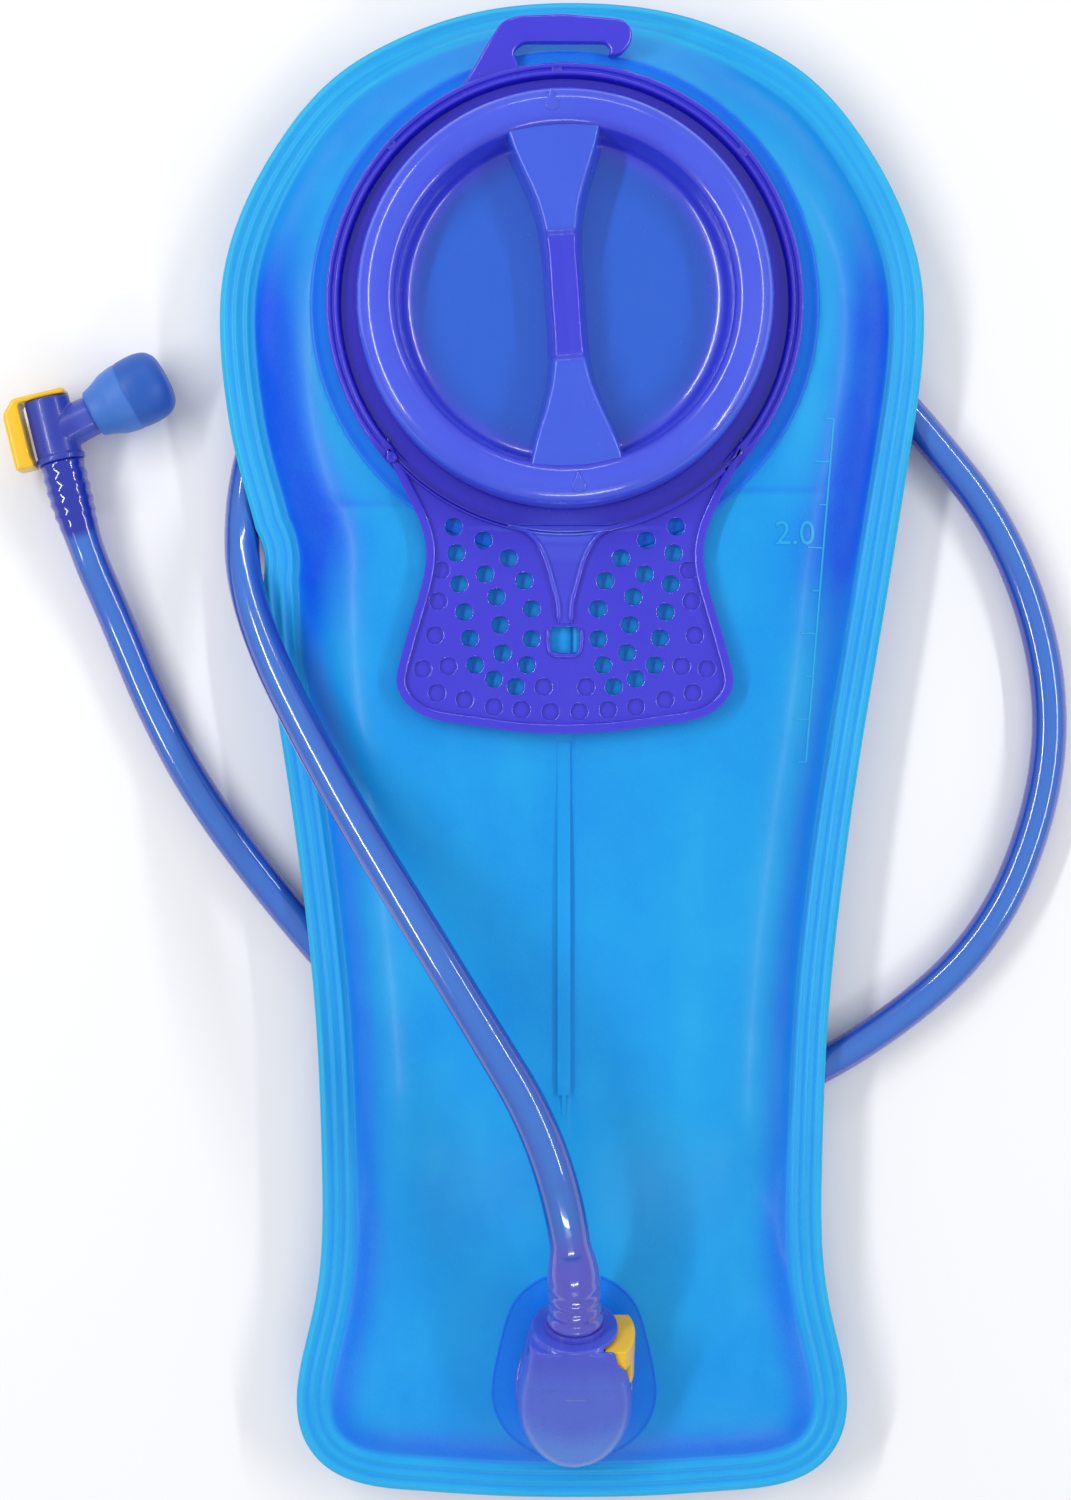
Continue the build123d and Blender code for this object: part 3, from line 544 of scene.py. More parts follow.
@dataclass(frozen=True)
class MouldedFinish:
    """Clear moulded plastic: one colour where it is thick, another where it is thin, and a deep colour that
    is darker plastic on some pieces and painted shade on others.
    """

    name: str
    thick: Colour
    deep: Colour
    thin: Colour
    roughness: float = 0.22
    coat: float = 0.6
    subsurface: float = 0.1
    grain: float = 0.00004
    edge: float = 0.0

    def build(self) -> Material:
        """Return the material."""
        n = Nodes(self.name)
        deep, thin, _ = n.tint()
        flow = n.span(n.noise(55.0, 4.0, (1.0, 0.5, 1.0)), 0.3, 0.7)
        base = n.mix(n.maths("MULTIPLY", flow, 0.22), self.thick, self.deep)
        # The tint's red lays the deep colour: darker plastic on some pieces, painted shade on others.
        base = n.mix(deep, base, self.deep)
        n.set(Base_Color=n.mix(thin, base, self.thin))
        start = None
        if self.edge:
            soft = n.node("ShaderNodeBevel", samples=4)
            soft.inputs["Radius"].default_value = self.edge
            start = soft.outputs["Normal"]
        wave = n.bump(n.noise(160.0, 3.0), 0.0004, 0.12, start)
        n.set(Normal=n.bump(n.noise(2200.0, 2.0), self.grain, 0.3, wave))
        rough = (self.roughness * 0.8, self.roughness * 1.25)
        n.set(Roughness=n.span(n.noise(240.0, 3.0), 0.3, 0.7, rough))
        n.set(Subsurface_Weight=self.subsurface, Subsurface_Scale=0.004, Subsurface_Radius=(0.3, 0.4, 1.0))
        n.set(Coat_Weight=self.coat, Coat_Roughness=0.05)
        return n.material


@dataclass(frozen=True)
class HoseFinish:
    """Clear extruded hose: painted shade along its sides and painted light along its middle, where light
    falls through its bore.
    """

    name: str = "hose_plastic"
    body: Colour = (0.035, 0.16, 0.60, 1)
    # Side: painted shade along the hose's sides, and the barb seen through the hose at the valve.
    side: Colour = (0.009, 0.024, 0.38, 1)
    barb: Colour = (0.09, 0.085, 0.55, 1)

    def build(self) -> Material:
        """Return the material."""
        n = Nodes(self.name)
        side, _, barb = n.tint()
        milky = n.span(n.noise(35.0, 3.0), 0.3, 0.7, (0.0, 0.25))
        base = n.mix(milky, self.body, (0.06, 0.23, 0.68, 1))
        # The tint's red lays painted shade on the sides and the valve barb's colour at that end.
        base = n.mix(side, base, self.side)
        n.set(Base_Color=n.mix(barb, base, self.barb))
        n.set(Normal=n.bump(n.noise(420.0, 2.0), 0.0002, 0.06))
        n.set(Roughness=n.span(n.noise(300.0, 2.0), 0.3, 0.7, (0.10, 0.18)))
        n.set(Subsurface_Weight=0.15, Subsurface_Scale=0.004, Subsurface_Radius=(0.3, 0.5, 1.0))
        n.set(Coat_Weight=1.0, Coat_Roughness=0.03)
        return n.material


@dataclass(frozen=True)
class RubberFinish:
    """Soft silicone or rubber with a fine dry skin."""

    name: str
    colour: Colour
    dark: Colour
    roughness: float = 0.5

    def build(self) -> Material:
        """Return the material."""
        n = Nodes(self.name)
        deep, _, _ = n.tint()
        dusty = n.span(n.noise(120.0, 4.0), 0.35, 0.7, (0.0, 0.2))
        # The tint's red lays the dark colour, painted shade on the bite valve's front and inside.
        n.set(Base_Color=n.mix(deep, n.mix(dusty, self.colour, self.dark), self.dark))
        n.set(Normal=n.bump(n.noise(1500.0, 3.0), 0.00008, 0.4))
        n.set(Roughness=n.span(n.noise(200.0, 2.0), 0.3, 0.7, (self.roughness - 0.06, self.roughness + 0.08)))
        n.set(Subsurface_Weight=0.25, Subsurface_Scale=0.004, Subsurface_Radius=(0.3, 0.5, 1.0))
        n.set(Sheen_Weight=0.15, Sheen_Roughness=0.4)
        return n.material


@dataclass(frozen=True)
class SteelFinish:
    """Bright drawn spring wire."""

    name: str = "spring_steel"

    def build(self) -> Material:
        """Return the material."""
        n = Nodes(self.name)
        drawn = n.noise(900.0, 3.0, (1.0, 1.0, 0.2))
        n.set(Base_Color=n.mix(n.span(drawn, 0.3, 0.7), (0.55, 0.56, 0.58, 1), (0.75, 0.76, 0.78, 1)))
        n.set(Metallic=1.0, Roughness=n.span(drawn, 0.2, 0.8, (0.18, 0.34)))
        n.set(Normal=n.bump(drawn, 0.00003, 0.3))
        return n.material


@dataclass(frozen=True)
class FloorFinish:
    """Plain pale studio floor."""

    name: str = "studio_floor"

    def build(self) -> Material:
        """Return the material."""
        n = Nodes(self.name)
        n.set(Base_Color=(0.93, 0.93, 0.94, 1), Roughness=0.85)
        return n.material


class Finish(Enum):
    """The named finishes, each with the record's slot that it stands for."""

    FILM = "bag_film"
    FRAME = "port_plastic"
    CAP = "cap_plastic"
    OUTLET = "outlet_plastic"
    PLUG = "plug_plastic"
    YELLOW = "yellow_plastic"
    HOSE = "hose_plastic"
    VALVE = "valve_plastic"
    MOUTHPIECE = "mouthpiece_silicone"
    SEAL = "seal_rubber"
    STEEL = "spring_steel"


class Paints:
    """Every finish's material, made once."""

    def __init__(self) -> None:
        """Build the materials."""
        violet = (0.050, 0.040, 0.68, 1)
        recipes = {
            Finish.FILM: FilmFinish(),
            # The frame's deep colour is painted shade in the groove inside the lip and on the paddle beside
            # the ring.
            Finish.FRAME: MouldedFinish(
                "port_plastic", violet, (0.018, 0.010, 0.56, 1), (0.06, 0.10, 0.78, 1)
            ),
            # The cap's deep colour: painted shade on the recess's sloping wall and the grip's walls, and
            # thicker plastic on the grip's waist.
            Finish.CAP: MouldedFinish(
                "cap_plastic",
                (0.060, 0.105, 0.78, 1),
                (0.028, 0.022, 0.62, 1),
                (0.013, 0.115, 0.62, 1),
            ),
            Finish.OUTLET: MouldedFinish(
                "outlet_plastic",
                (0.075, 0.105, 0.62, 1),
                (0.04, 0.06, 0.60, 1),
                (0.10, 0.24, 0.72, 1),
                roughness=0.30,
                coat=0.35,
            ),
            Finish.PLUG: MouldedFinish(
                "plug_plastic",
                (0.075, 0.085, 0.60, 1),
                (0.03, 0.03, 0.45, 1),
                (0.1, 0.12, 0.7, 1),
                roughness=0.28,
                coat=0.4,
                edge=0.0003,
            ),
            Finish.YELLOW: MouldedFinish(
                "yellow_plastic",
                (0.93, 0.56, 0.012, 1),
                (0.75, 0.36, 0.006, 1),
                (0.95, 0.66, 0.04, 1),
                roughness=0.35,
                coat=0.3,
            ),
            Finish.HOSE: HoseFinish(),
            Finish.VALVE: MouldedFinish(
                "valve_plastic",
                (0.028, 0.050, 0.40, 1),
                (0.010, 0.016, 0.36, 1),
                (0.07, 0.11, 0.55, 1),
                roughness=0.34,
                coat=0.25,
            ),
            Finish.MOUTHPIECE: RubberFinish(
                "mouthpiece_silicone", (0.050, 0.19, 0.62, 1), (0.008, 0.095, 0.46, 1)
            ),
            Finish.SEAL: RubberFinish("seal_rubber", (0.55, 0.62, 0.75, 1), (0.35, 0.42, 0.6, 1)),
            Finish.STEEL: SteelFinish(),
        }
        self.materials = {finish: recipe.build() for finish, recipe in recipes.items()}

    def __getitem__(self, finish: Finish) -> Material:
        """Return a finish's material."""
        return self.materials[finish]

    def dress(self, node: str, finish: Finish) -> None:
        """Give a frame node that stays visible its finish."""
        slots = bpy.data.objects[node].material_slots
        for slot in slots:
            slot.material = self[finish]


def settle(piece: Piece, body: str, finish: Finish, *nodes: str) -> None:
    """Tell the frame where a piece rides and the nodes that it stands for."""
    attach(piece, body)
    if nodes:
        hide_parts(*nodes)


# ---- hose --------------------------------------------------------------------------------------


@dataclass
class DrinkHose:
    """The drinking hose, widened over the barb at each end."""

    diameter: float = 0.009
    step: float = 0.0008
    sides: int = 32
    plug_barb: float = 0.020
    valve_barb: float = 0.019
    line: Array = field(init=False)

    def __post_init__(self) -> None:
        """Work out the centreline."""
        curve = bpy.data.curves.new("hose_route", "CURVE")
        curve.dimensions = "3D"
        curve.resolution_u = 24
        spline = curve.splines.new("NURBS")
        spline.points.add(len(HOSE_ROUTE) - 1)
        for point, corner in zip(spline.points, HOSE_ROUTE):
            point.co = (*corner, 1)
        spline.order_u = 3
        spline.use_endpoint_u = True
        holder = bpy.data.objects.new("hose_route", curve)
        mesh = bpy.data.meshes.new_from_object(holder)
        raw = np.array([vertex.co[:] for vertex in mesh.vertices])
        bpy.data.objects.remove(holder)
        bpy.data.meshes.remove(mesh)
        bpy.data.curves.remove(curve)
        along = np.concatenate([[0.0], np.cumsum(np.linalg.norm(np.diff(raw, axis=0), axis=1))])
        self.length = float(along[-1])
        wanted = np.linspace(0.0, self.length, int(self.length / self.step))
        self.line = np.stack([np.interp(wanted, along, raw[:, axis]) for axis in range(3)], axis=1)

    def radius(self, along: Array) -> Array:
        """Return the hose's radius at distances from the plug's flange."""
        half = self.diameter / 2
        back = self.length - along
        radius = half + 0.0006 * (1 - fade(0.03, 0.10, along))
        radius += 0.0014 * (1 - fade(self.plug_barb - 0.007, self.plug_barb + 0.004, along))
        rings = np.sin(along * math.tau / 0.0036) * (1 - fade(0.011, 0.014, along))
        radius += 0.00022 * rings
        radius += 0.0004 * (1 - fade(0.001, 0.004, along))
        radius += 0.0011 * (1 - fade(self.valve_barb - 0.012, self.valve_barb + 0.005, back))
        radius += 0.00020 * np.sin(back * math.tau / 0.0032) * (1 - fade(0.014, 0.019, back))
        return radius

    def build(self, paints: Paints) -> Piece:
        """Args:
            paints: the finishes.

        Returns:
            The hose.
        """
        steps = np.linalg.norm(np.diff(self.line, axis=0), axis=1)
        along = np.concatenate([[0.0], np.cumsum(steps)])
        radii = self.radius(along)
        heading = np.gradient(self.line, axis=0)
        heading /= np.linalg.norm(heading, axis=1)[:, None]
        side = np.cross(heading, (0.0, 0.0, 1.0))
        side /= np.linalg.norm(side, axis=1)[:, None]
        rise = np.cross(side, heading)
        angles = np.linspace(0, math.tau, self.sides, endpoint=False)
        turn_side, turn_up = np.cos(angles)[None, :, None], np.sin(angles)[None, :, None]
        around = turn_side * side[:, None, :] + turn_up * rise[:, None, :]
        rows = self.line[:, None, :] + around * radii[:, None, None]
        tint = np.zeros((*rows.shape[:2], 4))
        # Painted shade: the hose's sides are painted deep and its top and bottom left lighter, as light
        # through the bore would fall.
        tint[..., 0] = np.clip(1.25 * np.abs(np.cos(angles)) ** 2.6, 0, 1)[None, :]
        at_plug = 1 - fade(self.plug_barb, self.plug_barb + 0.012, along)
        at_valve = 1 - fade(self.valve_barb - 0.001, self.valve_barb + 0.002, along[-1] - along)
        tint[..., 2] = at_plug[:, None]
        tint[..., 0] = np.maximum(tint[..., 0], at_valve[:, None])
        on_top = bell(np.sin(angles), 1.0, 0.16)[None, :]
        stem_end = bell(along, self.plug_barb + 0.0015, 0.0009)[:, None] * on_top
        tint[..., 0] = np.maximum(tint[..., 0], stem_end * 0.9)
        tint[..., 2] *= 1 - stem_end
        tint[..., 3] = 1
        wall = 0.0014
        inner = self.line[:, None, :] + around * (radii - wall)[:, None, None]
        shape = Shape()
        tube, tints = np.concatenate([rows, inner[::-1]]), np.concatenate([tint, tint[::-1]])
        shape.grid(tube, tints, wrap=True, loop=True)
        hose = shape.build("drinking_hose", paints[Finish.HOSE])
        settle(hose, "root", Finish.HOSE, "drink_tube")
        return hose


# ---- bag ---------------------------------------------------------------------------------------


@dataclass
class Bag:
    """The welded bag: two films with a ribbed edge band, a centre weld and an embossed scale."""

    hose: DrinkHose
    band: float = 0.0088
    film: float = 0.0005
    round_points: int = 640
    band_rings: int = 26
    inner_rings: int = 66
    slope: float = 0.020
    port_flange: float = 0.0637
    spine_y: Flat = (-0.125, 0.108)
    weld_x: float = -0.0022
    weld_y: Flat = (-0.092, 0.004)
    seam_z: float = field(init=False)
    top_z: float = field(init=False)

    def __post_init__(self) -> None:
        """Read the frame's heights and place the outline."""
        low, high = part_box("front_film")
        self.seam_z, self.top_z = low.z, high.z
        collar_low, collar_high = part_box("port_collar")
        self.port = (collar_low + collar_high) / 2
        socket_low, socket_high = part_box("outlet_socket")
        self.outlet_x = (socket_low.x + socket_high.x) / 2
        self.patch_low, self.patch_high = socket_low.y, socket_high.y
        loop = RIGHT_EDGE + [(-x, y) for x, y in RIGHT_EDGE[-2:0:-1]]
        self.edge = smooth_line(loop, self.round_points, closed=True)
        self.step_aside()

    def inward(self) -> Array:
        """Return the outline's inward direction at each of its points."""
        heading = np.roll(self.edge, -1, axis=0) - np.roll(self.edge, 1, axis=0)
        heading /= np.linalg.norm(heading, axis=1)[:, None]
        return np.stack([heading[:, 1], -heading[:, 0]], axis=1)

    def step_aside(self) -> None:
        """Push the edge in where the hose comes down past it."""
        room = self.hose.diameter / 2 + 0.0012
        line = self.hose.line
        push = np.zeros(len(self.edge))
        for index, (x, y) in enumerate(self.edge):
            away = np.linalg.norm(line - (x, y, self.seam_z), axis=1)
            push[index] = max(0.0, room - away.min())
        kernel = np.hanning(41)
        wide = np.convolve(np.tile(push, 3), kernel / kernel.sum() * 1.5, "same")[len(push) : 2 * len(push)]
        self.edge = self.edge + self.inward() * np.maximum(push, wide)[:, None]

    def from_edge(self, points: Array) -> Array:
        """Return how far flat points lie inside the outline."""
        distance = np.empty(len(points))
        for start in range(0, len(points), 4000):
            part = points[start : start + 4000]
            gaps = np.linalg.norm(part[:, None, :] - self.edge[None, :, :], axis=2)
            distance[start : start + 4000] = gaps.min(axis=1)
        return distance

    def front_height(self, x: Array, y: Array, d: Array) -> Array:
        """Return the height of the front film's outside.

        Args:
            x: places across the bag.
            y: places along the bag.
            d: how far each place lies inside the edge.
        """
        seam_top = self.seam_z + 0.0006
        inside = fade(self.band, self.band + 0.004, d)
        outlet_z = 0.0175
        full = outlet_z + (self.top_z - outlet_z) * fade(-0.132, -0.084, y)
        full = full - 0.0009 * fade(0.0, -0.04, y)
        along = np.clip((d - self.band) / self.slope, 0.0, 1.0)
        z = seam_top + (full - seam_top) * (1 - (1 - along) ** 2.4)
        r = np.hypot(x - self.port.x, y - self.port.y)
        disc = self.top_z - 0.9 * np.maximum(0.0, r - self.port_flange + 0.0006)
        soft = 0.0006
        z = np.where(r < self.port_flange + 0.016, soft * np.log(np.exp(z / soft) + np.exp(disc / soft)), z)
        z = np.minimum(z, self.top_z)
        z = z - inside * self.dents(x, y)
        rib = sum(bell(d, centre, 0.00062) for centre in (0.0014, 0.0042, 0.0070))
        z = z + 0.00050 * rib * (1 - inside)
        z = z - 0.0006 * bell(d, 0.0, 0.0005)
        return z

    def dents(self, x: Array, y: Array) -> Array:
        """Return how deep the front film dips at each place."""
        weld_low, weld_high = self.weld_y
        weld = fade(weld_low - 0.010, weld_low, y) * (1 - fade(weld_high, weld_high + 0.006, y))
        across = x - self.weld_x
        dip = weld * (0.0009 * bell(across, 0.0010, 0.012) + 0.0002 * bell(across, 0.0020, 0.0008))
        dip = dip - weld * 0.00015 * (1 - fade(0.0012, 0.0018, np.abs(across)))
        crease_y = 0.0635 + 0.03 * x
        across_bag = fade(-0.078, -0.066, x) * (1 - fade(0.062, 0.070, x))
        dip = dip + 0.0003 * bell(y, crease_y, 0.0016) * across_bag
        for cx, cy, wide, high, deep in (
            (0.050, -0.138, 0.010, 0.006, 0.0012),
            (0.058, -0.128, 0.006, 0.010, -0.0007),
            (0.050, -0.108, 0.013, 0.008, 0.0006),
            (-0.052, -0.112, 0.007, 0.022, 0.0007),
            (-0.050, -0.150, 0.010, 0.010, 0.0006),
            (0.022, -0.060, 0.014, 0.030, 0.0005),
            (-0.040, -0.030, 0.014, 0.040, 0.0006),
            (0.045, 0.010, 0.010, 0.035, 0.0007),
            (-0.062, 0.045, 0.008, 0.030, 0.0009),
            (0.066, 0.045, 0.007, 0.030, 0.0008),
        ):
            dip = dip + deep * bell(x, cx, wide) * bell(y, cy, high)
        return dip

    def back_height(self, x: Array, y: Array, d: Array) -> Array:
        """Return the height of the back film's outside; the arguments are as for the front."""
        raised, seam = 0.0096, self.seam_z - 0.0006
        keel = raised * (fade(0.064, 0.084, y) + 1 - fade(-0.052, -0.032, y))
        along = np.clip((d - self.band) / self.slope, 0.0, 1.0)
        z = seam - (seam - keel) * (1 - (1 - along) ** 2.2)
        inside = fade(self.band, self.band + 0.004, d)
        rib = sum(bell(d, centre, 0.00062) for centre in (0.0014, 0.0042, 0.0070))
        return z - 0.0004 * rib * (1 - inside) + 0.0006 * bell(d, 0.0, 0.0005)

    def front_tint(self, x: Array, y: Array, d: Array) -> Array:
        """Return the film's tint: painted shade where it slopes away, in the crease, in the band's grooves
        and beside the weld; pale on the band and on the welds, with a painted highlight streak inside the
        band.
        """
        inside = fade(self.band - 0.0006, self.band + 0.0008, d)
        upper = fade(0.02, 0.06, y)
        # Painted shade: the film is painted deep where it slopes down to the band, more so in its upper part.
        deep = 0.55 * bell(d, self.band + 0.0025, 0.0045) + upper * 0.95 * bell(d, self.band + 0.008, 0.0085)
        deep = deep * (1 - 0.8 * fade(0.105, 0.140, y))
        crease_y = 0.0635 + 0.03 * x
        middle = fade(self.band + 0.010, self.band + 0.016, d)
        above = fade(crease_y - 0.001, crease_y + 0.001, y)
        # Painted shade: a deep line along the crease and slightly deeper film above it.
        deep = deep + middle * (0.30 * bell(y, crease_y, 0.0007) + 0.10 * above)
        low_end = 0.12 * fade(-0.13, -0.178, y)
        deep = np.clip(deep + low_end, 0, 1) * inside
        # Painted shade in the band's grooves between its ribs.
        groove = sum(bell(d, centre, 0.00042) for centre in (0.0028, 0.0057, 0.0086))
        deep = deep + 0.45 * groove * (1 - inside)
        r = np.hypot(x - self.port.x, y - self.port.y)
        flange = 1 - fade(self.port_flange - 0.0003, self.port_flange + 0.0005, r)
        pale = (0.30 + 0.55 * bell(d, 0.0, 0.0016) + 0.2 * fade(0.03, 0.12, y)) * (1 - inside)
        # Painted highlight: a pale streak along the film inside the band, in its upper part.
        pale = pale + 0.55 * bell(d, self.band + 0.019, 0.007) * fade(0.05, 0.085, y) * (1 - flange)
        weld = fade(self.weld_y[0], self.weld_y[0] + 0.002, y) * (1 - fade(self.weld_y[1], 0.008, y))
        strip = 1 - fade(0.0012, 0.0017, np.abs(x - self.weld_x))
        pale = pale + 0.10 * strip * weld
        # Painted shade: a deep line in the weld's groove, and the film beside the weld's right side painted a
        # little deeper.
        deep = deep * (1 - 0.7 * flange) + 0.10 * weld * bell(x, self.weld_x + 0.0020, 0.0007)
        deep = deep + 0.05 * weld * fade(self.weld_x, self.weld_x + 0.002, x) * (1 - fade(0.012, 0.03, x))
        tint = np.stack([deep, pale * (1 - flange), flange * 0.55, np.ones_like(x)], axis=-1)
        return np.clip(tint, 0, 1)

    def net(self) -> tuple[Array, Array]:
        """Return the flat net of both films and how far each of its points lies inside the edge."""
        inward = self.inward()
        insets = np.linspace(0, self.band, self.band_rings)
        rings = [self.edge + inward * inset for inset in insets]
        last = rings[-1]
        spine = np.stack([np.zeros(len(last)), np.clip(last[:, 1], *self.spine_y)], axis=1)
        for step in range(1, self.inner_rings + 1):
            t = (step / self.inner_rings) ** 1.15
            rings.append(last * (1 - t) + spine * t)
        flat = np.array(rings)
        depth = self.from_edge(flat.reshape(-1, 2)).reshape(flat.shape[:2])
        for row, inset in enumerate(insets):
            depth[row] = inset
        return flat, depth

    def film_piece(self, name: str, node: str, height, tint: Array, flat, depth, paints: Paints):
        """Make one film.

        Args:
            name: the piece's name.
            node: the frame node that it stands for.
            height: the film's height rule.
            tint: its tint, in the net's rows.
            flat: the net's flat places.
            depth: how far they lie inside the edge.
            paints: the finishes.

        Returns:
            The film.
        """
        x, y = flat[..., 0], flat[..., 1]
        rows = np.stack([x, y, height(x, y, depth)], axis=-1)
        shape = Shape()
        shape.grid(rows, tint, wrap=True)
        film = shape.build(name, paints[Finish.FILM], merge=2e-5)
        if film.data.polygons[0].normal.z * (1 if node == "front_film" else -1) < 0:
            film.data.flip_normals()
        thicken = film.modifiers.new("thickness", "SOLIDIFY")
        thicken.thickness = self.film
        thicken.offset = -1
        settle(film, "root", Finish.FILM, node)
        return film

    def ribbon(self, shape: Shape, line: list[Flat], width: float, proud: float) -> None:
        """Add a thin embossed line that follows the front film.

        Args:
            shape: what it is added to.
            line: its flat places.
            width: its width.
            proud: how far it stands up.
        """
        points = smooth_line(line, max(3, int(math.dist(line[0], line[-1]) / 0.001)))
        heading = np.gradient(points, axis=0)
        heading /= np.linalg.norm(heading, axis=1)[:, None]
        side = np.stack([-heading[:, 1], heading[:, 0]], axis=1)
        rows = []
        foot, shoulder = -0.0003, proud * 0.8
        for across, lift in ((-0.5, foot), (-0.28, shoulder), (0, proud), (0.28, shoulder), (0.5, foot)):
            place = points + side * across * width
            rows.append(np.column_stack([place, self.surface(place) + lift]))
        shape.grid(np.array(rows), (0.0, 0.55, 0.0, 1.0), wrap=False)

    def surface(self, places: Array) -> Array:
        """Return the front film's height at flat places."""
        return self.front_height(places[:, 0], places[:, 1], self.from_edge(places))

    def weld_plate(self, name: str, outline: Array, middle: Flat, hole: float, paints: Paints) -> None:
        """Make a thin moulded flange that shows through the film and follows it.

        Args:
            name: the piece's name.
            outline: its flat outline.
            middle: the place that its net runs to.
            hole: how far from the middle the net stops, as a share.
            paints: the finishes.
        """
        shares = np.concatenate([[1.012, 1.010, 1.004, 0.996, 0.985], np.linspace(0.97, hole, 16)])
        lifts = np.concatenate([[-0.0004, 0.0, 0.00022, 0.00030, 0.00020], np.full(16, 0.00018)])
        rows, tints = [], []
        for share, lift in zip(shares, lifts):
            flat = np.array(middle) + (outline - middle) * share
            rows.append(np.column_stack([flat, self.surface(flat) + lift]))
            line = float(bell(np.array(share), 0.992, 0.012))
            tints.append(np.tile((0.04 + 0.45 * line, 0.0, 0.85, 1.0), (len(flat), 1)))
        shape = Shape()
        shape.grid(np.array(rows), np.array(tints), wrap=True)
        piece = shape.build(name, paints[Finish.FILM])
        settle(piece, "root", Finish.FILM)

    def patch_outline(self) -> Array:
        """Return the egg-shaped outline of the outlet's weld patch."""
        top_y, low_y = self.patch_high, self.patch_low + 0.0004
        half = [
            (0.0, top_y - 0.0002), (0.0088, top_y - 0.0022), (0.0152, top_y - 0.0078),
            (0.0182, top_y - 0.0160), (0.0202, top_y - 0.0250), (0.0206, top_y - 0.0330),
            (0.0178, low_y + 0.0085), (0.0096, low_y + 0.0018), (0.0, low_y),
        ]  # fmt: skip
        loop = half + [(-x, y) for x, y in half[-2:0:-1]]
        flat = smooth_line(loop, 160, closed=True)
        return flat + (self.outlet_x, 0.0)

    def scale_marks(self, paints: Paints) -> Piece:
        """Make the embossed volume scale: a line, its ticks and one generic number."""
        shape = Shape()
        top, bottom = (0.0655, 0.083), (0.0590, -0.003)
        self.ribbon(shape, [top, bottom], 0.0007, 0.00022)
        for index in range(9):
            t = index / 8
            x = top[0] * (1 - t) + bottom[0] * t
            y = top[1] * (1 - t) + bottom[1] * t
            reach = 0.0042 if index % 2 else 0.0022
            self.ribbon(shape, [(x, y), (x - reach, y)], 0.0006, 0.0002)
        marks = shape.build("volume_scale", paints[Finish.FILM])
        settle(marks, "root", Finish.FILM)
        text = bpy.data.curves.new("volume_number", "FONT")
        text.body = "2.0"
        text.size = 0.0085
        text.extrude = 0.0001
        holder = bpy.data.objects.new("volume_number", text)
        mesh = bpy.data.meshes.new_from_object(holder)
        bpy.data.objects.remove(holder)
        mesh.transform(Matrix.Translation((0.0505, 0.0515, 0)))
        places = np.array([vertex.co[:] for vertex in mesh.vertices])
        places[:, 2] += self.surface(places[:, :2]) + 0.00008
        mesh.vertices.foreach_set("co", places.ravel())
        number = make_object("volume_number", mesh, paints[Finish.FILM])
        tint_by(number, lambda points: np.tile((0.0, 0.5, 0.0, 1.0), (len(points), 1)))
        settle(number, "root", Finish.FILM)
        return marks

    def build(self, paints: Paints) -> None:
        """Make both films and the scale."""
        flat, depth = self.net()
        tint = self.front_tint(flat[..., 0], flat[..., 1], depth)
        back_tint = tint.copy()
        # The back film keeps the front's painted shade in its red channel.
        back_tint[..., 1:3] *= (depth < self.band)[..., None]
        front = self.film_piece("bag_front", "front_film", self.front_height, tint, flat, depth, paints)
        back = self.film_piece("bag_back", "back_film", self.back_height, back_tint, flat, depth, paints)
        self.scale_marks(paints)
        turns = np.linspace(0, math.tau, 240, endpoint=False)
        radius = 0.0632
        ring = (self.port.x + radius * np.cos(turns), self.port.y + radius * np.sin(turns))
        circle = np.column_stack(ring)
        self.weld_plate("port_flange_weld", circle, (self.port.x, self.port.y), 0.80, paints)
        patch = self.patch_outline()
        middle = (self.outlet_x, float(patch[:, 1].mean()))
        self.weld_plate("outlet_flange_weld", patch, middle, 0.30, paints)
        paints.dress("centre_baffle", Finish.FILM)


# ---- filler port -------------------------------------------------------------------------------


